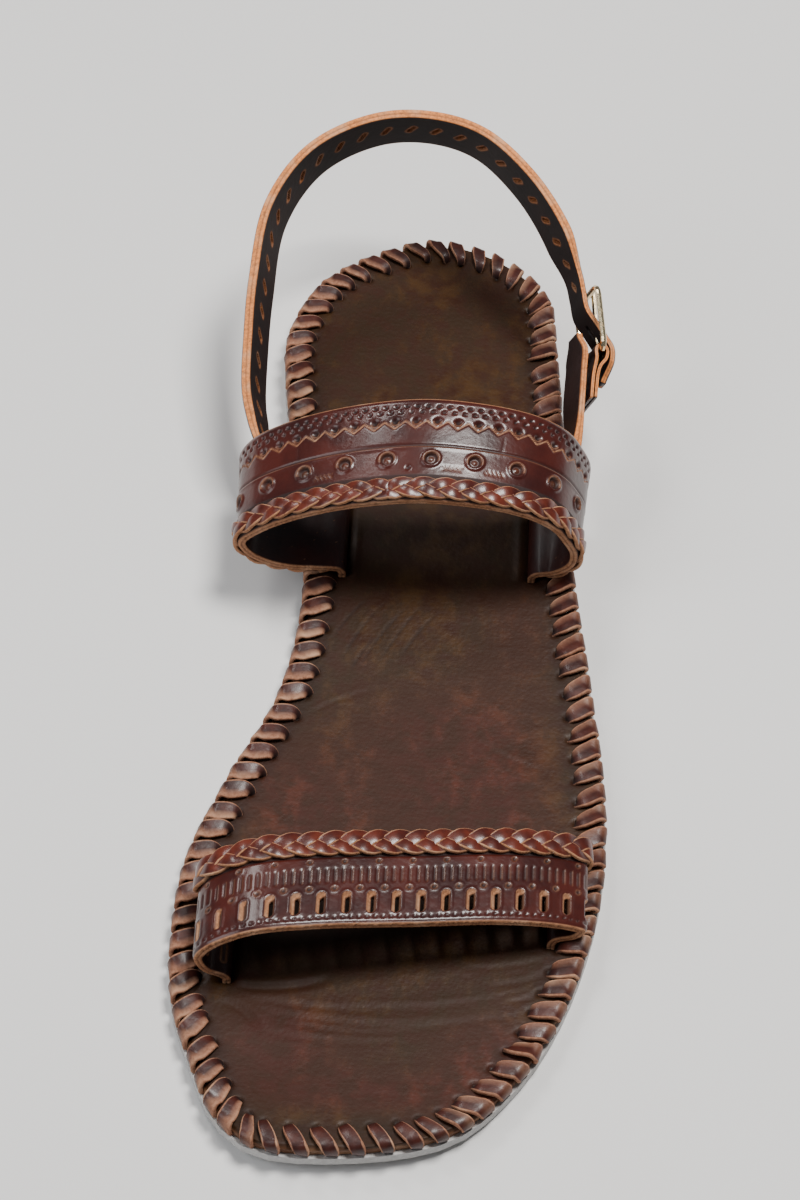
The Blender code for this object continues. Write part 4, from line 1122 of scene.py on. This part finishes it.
def slot_lines():
    """Places of the four slots in the footbed: across, and front and rear ends, in millimetres."""
    lines = []
    for (edge_y, _, slots), depth in ((toe_ends(), TOE_STRAP_DEPTH), (instep_ends(), INSTEP_STRAP_DEPTH)):
        for x in slots:
            lines.append((x / MM, edge_y(x) / MM, (edge_y(x) + depth) / MM))
    return lines


def plait(name, sheet, centre, width, pitch, mirrored):
    """Three flat strands plaited along a strap; with `mirrored` the plait turns round in the middle."""
    chance = np.random.default_rng(5)
    stations = int(sheet.length / (0.42 * MM) / FINE)
    s = np.linspace(-0.452, 0.452, stations) * sheet.length
    run = np.abs(s) + 0.2 * MM if mirrored else s
    strand_width = STRAND_SHARE * width
    swing = (width - strand_width) / 2
    wall = STRAP_WALL - 0.5 * MM
    points, faces, pit = [], [], []
    for strand in range(3):
        angle = 2 * math.pi * (run / (3 * pitch) + strand / 3)
        over = np.sin(2 * angle)
        height = wall / 2 + STRAND_THICKNESS * 0.35 + PLAIT_RISE * (1 + over)
        path, normal = sheet.at(s, centre + swing * np.sin(angle), height)
        widths = strand_width * (1 + 0.06 * np.sin(angle * 2 + 1)) * (1 + chance.normal(0.0, 0.02, len(s)))
        rings = sweep(path, normal, widths, STRAND_THICKNESS)
        faces += tube_faces(stations, len(SECTION_RAW), strand * rings.shape[0] * rings.shape[1])
        points.append(rings.reshape(-1, 3))
        # Darker where a strand dips under the others: painted shade.
        sunk_shade = 0.55 * np.clip(-over, 0.0, 1.0)
        pit.append(np.repeat(sunk_shade, len(SECTION_RAW)))
    marks = {"raw_and_highlight": np.tile(SECTION_RAW, 3 * stations), "pit": np.concatenate(pit)}
    add_mesh(name, np.concatenate(points), faces, PLAIT_LEATHER, marks)


def toe_marks(u, v):
    """Stamped relief, rawness with painted highlights, pits with painted shade, and cut-through cells of
    the toe strap.
    """
    slot_u = nearest(u, TOE_SLOT_PITCH, count=TOE_SLOT_COUNT)
    slot = slot_distance(slot_u, v - TOE_SLOT_AT, 1.9, 5.4) + 0.3 * (u < TOE_SLOTS_FROM)
    gap = slot_distance(slot_u - 0.32, v - TOE_SLOT_AT + 0.3, 0.85, 4.2)
    lit_side = np.where((slot_u < -0.1) | (v > 7.0), 1.0, 0.35)
    dots = np.hypot(nearest(u, TOE_DOT_PITCH), v - TOE_DOT_AT)
    flower_u = nearest(u, TOE_SLOT_PITCH)
    flowers = np.hypot(flower_u, v - TOE_FLOWER_AT)
    petals = 0.7 + 0.3 * np.cos(4 * np.arctan2(v - TOE_FLOWER_AT, flower_u))
    buds = np.hypot(nearest(u, TOE_BUD_PITCH, -1.5), v - TOE_BUD_AT)
    bar_u = nearest(u, TOE_BAR_PITCH)
    bars = bump(bar_u, 0.26) * ramp(v, 9.9, 10.5) * (1 - ramp(v, 13.4, 14.1))
    under_plait = ramp(v, TOE_PLAIT_FROM, TOE_PLAIT_FROM + 0.5)
    relief = 0.14 * bump(slot - 0.3, 0.22) - 0.85 * (1 - ramp(slot, -0.55, 0.0))
    relief -= 0.30 * bump(dots, 0.34) + 0.26 * bars
    relief += 0.12 * bump(flowers - 0.8, 0.25) - 0.45 * bump(flowers, 0.5) * petals
    relief += 0.10 * bump(buds - 0.7, 0.25) - 0.40 * bump(buds, 0.42)
    relief -= 0.25 * under_plait + 0.35 * bump(v, 0.45) + 0.35 * bump(v - TOE_STRAP_DEPTH / MM, 0.45)
    # Slot walls are raw tan, made brighter on the lit side as a painted highlight; the tan strip beside
    # each ruled bar is a painted highlight.
    raw_and_highlight = ramp(0.08 - slot, 0.0, 0.2) * lit_side + 0.3 * bump(flowers - 0.6, 0.16)
    raw_and_highlight += 0.25 * bump(buds - 0.55, 0.16) + 0.16 * bump(bar_u - 0.3, 0.14) * (bars > 0.02)
    # Pits are painted shade: in the slots' holes, in the stamped dots, flowers, buds and bars, and under
    # the plait.
    pit = 0.8 * (1 - ramp(gap, -0.1, 0.3)) + 0.9 * bump(dots, 0.25) + 0.9 * bump(flowers, 0.45)
    pit += 0.9 * bump(buds, 0.4) + 0.6 * bars + 0.8 * under_plait
    holes = (cells(gap) < 0) & (cells(u) > TOE_SLOTS_FROM)
    marks = both_faces(np.clip(raw_and_highlight, 0, 1), np.clip(pit, 0, 1), 0.9 * bump(slot, 0.25), 0.35)
    return relief, marks, holes


def toe_strap():
    """Toe strap: slots and small punches in front, stamped lines, plait behind."""
    edge_y, ends, slots = toe_ends()
    rings, columns = int(370 / FINE), int(76 / FINE)
    line = arch_line(TOE_ARCH, False, ends, slots, TOE_STRAP_HEIGHT, STRAP_WALL, rings)
    sheet = strap_sheet(line, line, edge_y, TOE_STRAP_DEPTH, 0.0, TOE_STRAP_HEIGHT, columns)
    relief, marks, holes = toe_marks(*sheet.places())
    strap_shell("toe_strap_leather", sheet, STRAP_WALL, relief, marks, holes, STRAP_LEATHER,
                "toe_strap", 0.10)
    centre = sheet.width - (TOE_PLAIT_WIDTH / 2 + 0.1 * MM)
    plait("toe_strap_plait", sheet, centre, TOE_PLAIT_WIDTH, TOE_PLAIT_PITCH, False)


def instep_marks(u, v, back):
    """Stamped relief, rawness with painted highlights, and pits with painted shade, of the instep strap."""
    tooth_u = nearest(u, TOOTH_PITCH)
    punch_u = np.abs(nearest(u, PUNCH_PITCH))
    offset_u = np.abs(nearest(u, PUNCH_PITCH, 1.12))
    rear_row = np.maximum(punch_u / 0.42, np.abs(back - 2.1) / 0.36)
    next_row = np.maximum(offset_u / 0.36, np.abs(back - 3.5) / 0.42)
    rounds = np.hypot(tooth_u, back - TOOTH_HOLE_AT)
    saw = back - (TOOTH_LINE_AT - 0.82 * np.abs(tooth_u))
    line = bump(back - RULED_LINE_AT, 0.22)
    eyelet = np.hypot(nearest(u, EYELET_PITCH, EYELET_SHIFT, EYELET_COUNT), v - EYELET_AT)
    between = nearest(u, EYELET_PITCH, EYELET_SHIFT + EYELET_PITCH / 2)
    gap_number = np.floor((u - EYELET_SHIFT) / EYELET_PITCH)
    box = ramp(v, 7.3, 7.6) * (1 - ramp(v, 8.6, 8.9)) * (1 - ramp(np.abs(between), 2.1, 2.4))
    hatch = bump(nearest(u + 0.7 * (v - HATCH_AT), 1.0), 0.22) * box * np.isin(gap_number, (-2, 1, 2))
    dot = np.hypot(between, v - HATCH_AT)
    dot_on = gap_number == 0
    seam = bump(u + 22.0, 0.25) + bump(u - 24.0, 0.25)
    seam = seam * ramp(back, 7.8, 8.2) * (1 - ramp(back, 11.4, 11.8))
    relief = -0.38 * (1 - ramp(rear_row, 0.7, 1.3)) - 0.38 * (1 - ramp(next_row, 0.7, 1.3))
    relief -= 0.85 * bump(rounds, 0.72) + 0.28 * bump(saw, 0.22) + 0.35 * line + 0.06 * seam
    relief += 0.10 * bump(back - RULED_LINE_AT - 0.5, 0.4) + 0.40 * bump(eyelet - 1.8, 0.32)
    relief += 0.55 * bump(eyelet, 0.9) - 0.85 * (1 - ramp(eyelet, 0.9, 1.65))
    relief -= 0.20 * hatch + 0.5 * bump(dot, 0.5) * dot_on
    relief -= 0.35 * bump(v, 0.45) + 0.40 * bump(back, 0.5)
    # Tan along the saw-tooth line, on the rear half of each eyelet's ring and on the front side of the
    # ruled line is a painted highlight.
    raw_and_highlight = 0.9 * bump(saw + 0.05, 0.17) + 0.45 * bump(rounds - 0.8, 0.16) * (back > 5.8)
    raw_and_highlight += 0.45 * bump(eyelet - 1.7, 0.2) * (v > 9.8) + 0.12 * bump(eyelet, 0.8)
    raw_and_highlight += 0.22 * hatch + 0.2 * bump(back - RULED_LINE_AT - 0.35, 0.14)
    # Pits are painted shade: in the punches, round holes, ruled line, eyelet rings, dot and seam lines, and
    # under the plait along the front.
    pit = 0.9 * (1 - ramp(rear_row, 0.7, 1.1)) + 0.8 * (1 - ramp(next_row, 0.7, 1.1))
    pit += bump(rounds, 0.62) + 0.7 * line + 0.8 * bump(eyelet - 1.15, 0.32)
    pit += 0.9 * bump(dot, 0.4) * dot_on + 0.8 * (1 - ramp(v, 6.1, 6.6)) + 0.25 * seam
    specks = 0.5 * (np.random.default_rng(8).random(u.shape) > 0.997)
    return relief, both_faces(np.clip(raw_and_highlight, 0, 1), np.clip(pit, 0, 1), specks, 0.45)


def instep_strap():
    """Instep strap: plait in front, ringed eyelets, plain band, saw-tooth row and punches behind."""
    edge_y, ends, slots = instep_ends()
    wider = (ends[0] - INSTEP_REAR_FLARE, ends[1] + 2 * INSTEP_REAR_FLARE)
    rings, columns = int(470 / FINE), int(84 / FINE)
    front = arch_line(INSTEP_ARCH, False, ends, slots, INSTEP_FRONT_HEIGHT, STRAP_WALL, rings)
    rear = arch_line(INSTEP_ARCH, True, wider, slots, INSTEP_REAR_HEIGHT, STRAP_WALL, rings)
    sheet = strap_sheet(front, rear, edge_y, INSTEP_STRAP_DEPTH, INSTEP_LEAN, INSTEP_FRONT_HEIGHT, columns)
    u, v = sheet.places()
    relief, marks = instep_marks(u, v, sheet.width / MM - v)
    holes = np.zeros((rings - 1, columns - 1), dtype=bool)
    strap_shell("instep_strap_leather", sheet, STRAP_WALL, relief, marks, holes, STRAP_LEATHER,
                "instep_strap", 0.06)
    centre = INSTEP_PLAIT_WIDTH / 2 + 0.1 * MM
    plait("instep_strap_plait", sheet, centre, INSTEP_PLAIT_WIDTH, INSTEP_PLAIT_PITCH, True)


# Heel strap and buckle

def loop_top(across, along):
    """A place on the line of the heel strap's upper edge."""
    back = HEEL_BACK - HEEL_LOOP_INSET
    y = back - (1 - along) * HEEL_LOOP_LENGTH
    return np.array([across * HEEL_LOOP_WIDTH / 2, y, HEEL_STRAP_TOP - HEEL_STRAP_SLOPE * (back - y)])


def loop_down(flare):
    """Directions from the heel strap's upper edge to its lower edge."""
    slope = math.atan(HEEL_STRAP_SLOPE)
    flare = np.asarray(flare, dtype=float)
    fall = (np.full_like(flare, math.sin(slope)), np.full_like(flare, -math.cos(slope)))
    return unit(np.stack([flare, *fall], axis=-1))


def ribbon_sheet(rows, rings, columns, upper, lower):
    """Middle surface of a strap standing on edge along the heel loop."""
    nodes = [(*loop_top(across, along), flare) for across, along, flare in rows]
    line = spline(nodes, rings, measured=3)
    share = np.linspace(0.0, 1.0, rings)
    down = loop_down(line[:, 3])
    over, under = upper(share), lower(share)
    drop = over[:, None] + (under - over)[:, None] * np.linspace(0.0, 1.0, columns)[None, :]
    return Sheet(line[:, None, :3] + down[:, None] * drop[..., None]), share


def heel_strap():
    """Heel strap with slanted slots, a dotted lower row and pale raw edges."""
    spare = (HEEL_STRAP_WIDTH - HEEL_STRAP_TAIL_WIDTH) / 2

    def upper(share):
        return spare * ramp(share, 0.80, 0.86) + 0.3 * HEEL_STRAP_TAIL_WIDTH * ramp(share, 0.975, 1.0)

    def lower(share):
        tucked = (HEEL_STRAP_WIDTH - TUCKED_END_WIDTH) * (1 - ramp(share, 0.02, 0.085))
        return HEEL_STRAP_WIDTH - tucked - upper(share)

    rings, columns = int(560 / FINE), int(44 / FINE)
    sheet, share = ribbon_sheet(HEEL_LOOP, rings, columns, upper, lower)
    wall = HEEL_STRAP_WALL - (HEEL_STRAP_WALL - TUCKED_END_WALL) * (1 - ramp(share, 0.02, 0.085))
    wall = wall - (HEEL_STRAP_WALL - HEEL_STRAP_TAIL_WALL) * ramp(share, 0.80, 0.86)
    u, v = sheet.places()
    length = sheet.length / MM
    slot_u = nearest(u, HEEL_SLOT_PITCH, -0.04 * length, HEEL_SLOT_COUNT)
    slot = slot_distance(slot_u, v - HEEL_SLOT_AT, HEEL_SLOT_WIDTH, HEEL_SLOT_LENGTH, HEEL_SLOT_SLANT)
    prong = slot_distance(u - 0.437 * length, v - 7.0, 3.0, 8.0, 90.0)
    body = (1 - ramp(share, 0.78, 0.84))[:, None]
    dots = np.hypot(nearest(u, HEEL_DOT_PITCH), v - HEEL_DOT_AT)
    high_line, low_line = bump(v - 2.2, 0.22), bump(v - 12.6, 0.2)
    relief = 0.18 * bump(slot - 0.25, 0.28) - 0.35 * bump(dots, 0.5)
    relief = (relief - 0.25 * high_line - 0.2 * low_line) * body
    relief -= 0.4 * bump(v, 0.5) + 0.4 * bump(v - sheet.width / MM, 0.5)
    raw_and_highlight = np.clip(bump(slot - 0.1, 0.26) + 0.4 * bump(dots - 0.4, 0.15) * body, 0, 1)
    # Pits are painted shade in the stamped dots and lines.
    pit = np.clip((0.8 * bump(dots, 0.35) + 0.6 * high_line + 0.5 * low_line) * body, 0, 1)
    marks = both_faces(raw_and_highlight, pit, bump(slot - 0.1, 0.26), 0.85)
    holes = cells(np.minimum(slot, prong)) < 0
    strap_shell("heel_strap_leather", sheet, wall, relief, marks, holes, HEEL_LEATHER, "heel_strap", 0.05)


def buckle_strap():
    """Short strap behind the buckle, thick where it leaves the instep strap."""
    def upper(share):
        return 3.5 * MM * ramp(share, 0.86, 1.0)

    def lower(share):
        spread = (BUCKLE_STRAP_WIDTH - TUCKED_END_WIDTH) * ramp(share, 0.1, 0.5)
        return TUCKED_END_WIDTH + spread - upper(share)

    rings, columns = int(90 / FINE), int(24 / FINE)
    sheet, share = ribbon_sheet(BUCKLE_STRAP_PATH, rings, columns, upper, lower)
    wall = HEEL_STRAP_WALL + (BUCKLE_STRAP_WALL - HEEL_STRAP_WALL) * ramp(share, 0.15, 0.5)
    u, v = sheet.places()
    stitches = bump(nearest(u, 2.4), 0.8) * bump(v - 1.8, 0.3)
    relief = 0.15 * stitches - 0.15 * bump(v - 1.8, 0.35)
    relief -= 0.25 * bump(v, 0.4) + 0.25 * bump(v - sheet.width / MM, 0.4)
    dark_end = ramp(share, 0.35, 0.6)[:, None] * np.ones_like(v)
    marks = both_faces(np.zeros_like(v), 0.5 * dark_end, np.zeros_like(v), 0.3)
    holes = np.zeros((rings - 1, columns - 1), dtype=bool)
    strap_shell("buckle_strap_leather", sheet, wall, relief, marks, holes, HEEL_LEATHER,
                "buckle_strap", 0.04)


def buckle_axes():
    """Hinge bar's centre and the buckle's directions: towards the heel, down the strap and outwards."""
    top = loop_top(HINGE_ACROSS, HINGE_ALONG)
    down = loop_down(-0.25)
    slope, turn = math.atan(HEEL_STRAP_SLOPE), math.radians(BUCKLE_TURN)
    along = unit(np.array([-math.sin(turn), math.cos(turn) * math.cos(slope), math.sin(slope)]))
    down = unit(down - along * float(down @ along))
    out = unit(np.cross(down, along))
    if out[0] < 0:
        out = -out
    return top + down * HEEL_STRAP_WIDTH / 2, along, down, out


def buckle_loop():
    """Leather turned round the hinge bar, notched for the prong."""
    hinge, along, down, out = buckle_axes()
    turn = BUCKLE_WIRE / 2 + CLEARANCE + BUCKLE_LOOP_WALL / 2
    step = BUCKLE_LOOP_WALL + CLEARANCE
    reach = BUCKLE_LOOP_LENGTH
    path = [(-reach, -2.7 * turn), (-reach / 2, -1.9 * turn), (-1.2 * turn, -1.05 * turn)]
    path += [(turn * math.sin(math.radians(degrees)), -turn * math.cos(math.radians(degrees)))
             for degrees in (0, 45, 90, 135, 180)]
    path += [(-1.4 * turn, 0.65 * turn), (-2.6 * turn, step - 1.2 * turn), (-reach / 2, step - 1.85 * turn),
             (-reach, step - 2.7 * turn)]
    rings, columns = int(110 / FINE), int(40 / FINE)
    line = spline(path, rings)
    across = np.linspace(-0.5, 0.5, columns) * BUCKLE_LOOP_WIDTH
    turned = hinge + line[:, None, :1] * along + line[:, None, 1:] * out
    sheet = Sheet(turned + across[None, :, None] * down)
    v = sheet.places()[1]
    notch = (line[:, 0] > -2.0 * turn)[:, None] & (np.abs(across) < BUCKLE_NOTCH_WIDTH / 2)[None, :]
    holes = cells(notch.astype(float)) > 0.9
    relief = -0.12 * bump(v, 0.4) - 0.12 * bump(v - sheet.width / MM, 0.4)
    marks = both_faces(np.zeros_like(v), np.zeros_like(v), np.zeros_like(v), 0.0)
    strap_shell("buckle_loop_leather", sheet, BUCKLE_LOOP_WALL, relief, marks, holes, HEEL_LEATHER,
                "buckle_loop")


# Stage

def floor():
    """Plain pale floor."""
    material, wires, shader = new_material("pale_floor")
    place = wires.node("TexCoord").outputs["Object"]
    tone = wires.mix(wires.noise(place, 3.0, 3.0), (0.74, 0.73, 0.72, 1.0), (0.80, 0.79, 0.78, 1.0))
    wires.join(tone, shader.inputs["Base Color"])
    shader.inputs["Roughness"].default_value = 0.65
    mesh = bpy.data.meshes.new("floor")
    corners = [(-FLOOR_REACH, -FLOOR_REACH, 0.0), (FLOOR_REACH, -FLOOR_REACH, 0.0),
               (FLOOR_REACH, FLOOR_REACH, 0.0), (-FLOOR_REACH, FLOOR_REACH, 0.0)]
    mesh.from_pydata(corners, [], [(0, 1, 2, 3)])
    mesh.materials.append(material)
    plane = bpy.data.objects.new("floor", mesh)
    bpy.context.scene.collection.objects.link(plane)


def lights():
    """Soft lamps aimed at the shoe, and a dim sky."""
    for name, place, size, power, colour in LIGHTS:
        lamp = bpy.data.lights.new(name, "AREA")
        lamp.size = size
        lamp.energy = power
        lamp.color = colour
        lamp_object = bpy.data.objects.new(name, lamp)
        lamp_object.location = place
        aim = Vector(LIGHT_AIM) - Vector(place)
        lamp_object.rotation_euler = aim.to_track_quat("-Z", "Y").to_euler()
        bpy.context.scene.collection.objects.link(lamp_object)
    world = bpy.data.worlds.new("studio")
    world.use_nodes = True
    background = world.node_tree.nodes["Background"]
    background.inputs["Color"].default_value = SKY_TINT
    background.inputs["Strength"].default_value = SKY_STRENGTH
    bpy.context.scene.world = world


def camera():
    """The photo's camera, turned the shortest way to the one shoe."""
    lens = bpy.data.cameras.new("camera")
    lens.lens = CAMERA_LENS
    lens.clip_end = 20.0
    camera_object = bpy.data.objects.new("camera", lens)
    camera_object.location = CAMERA_PLACE
    turn = Euler((math.radians(90 - CAMERA_PITCH), 0.0, math.radians(CAMERA_YAW))).to_quaternion()
    ahead = turn @ Vector((0.0, 0.0, -1.0))
    aim = (Vector(CAMERA_TARGET) - Vector(CAMERA_PLACE)).normalized()
    camera_object.rotation_euler = (ahead.rotation_difference(aim) @ turn).to_euler()
    bpy.context.scene.collection.objects.link(camera_object)
    bpy.context.scene.camera = camera_object


sole_nodes()
footbed()
edge_lacing()
toe_strap()
instep_strap()
heel_strap()
buckle_strap()
buckle_loop()
floor()
lights()
camera()
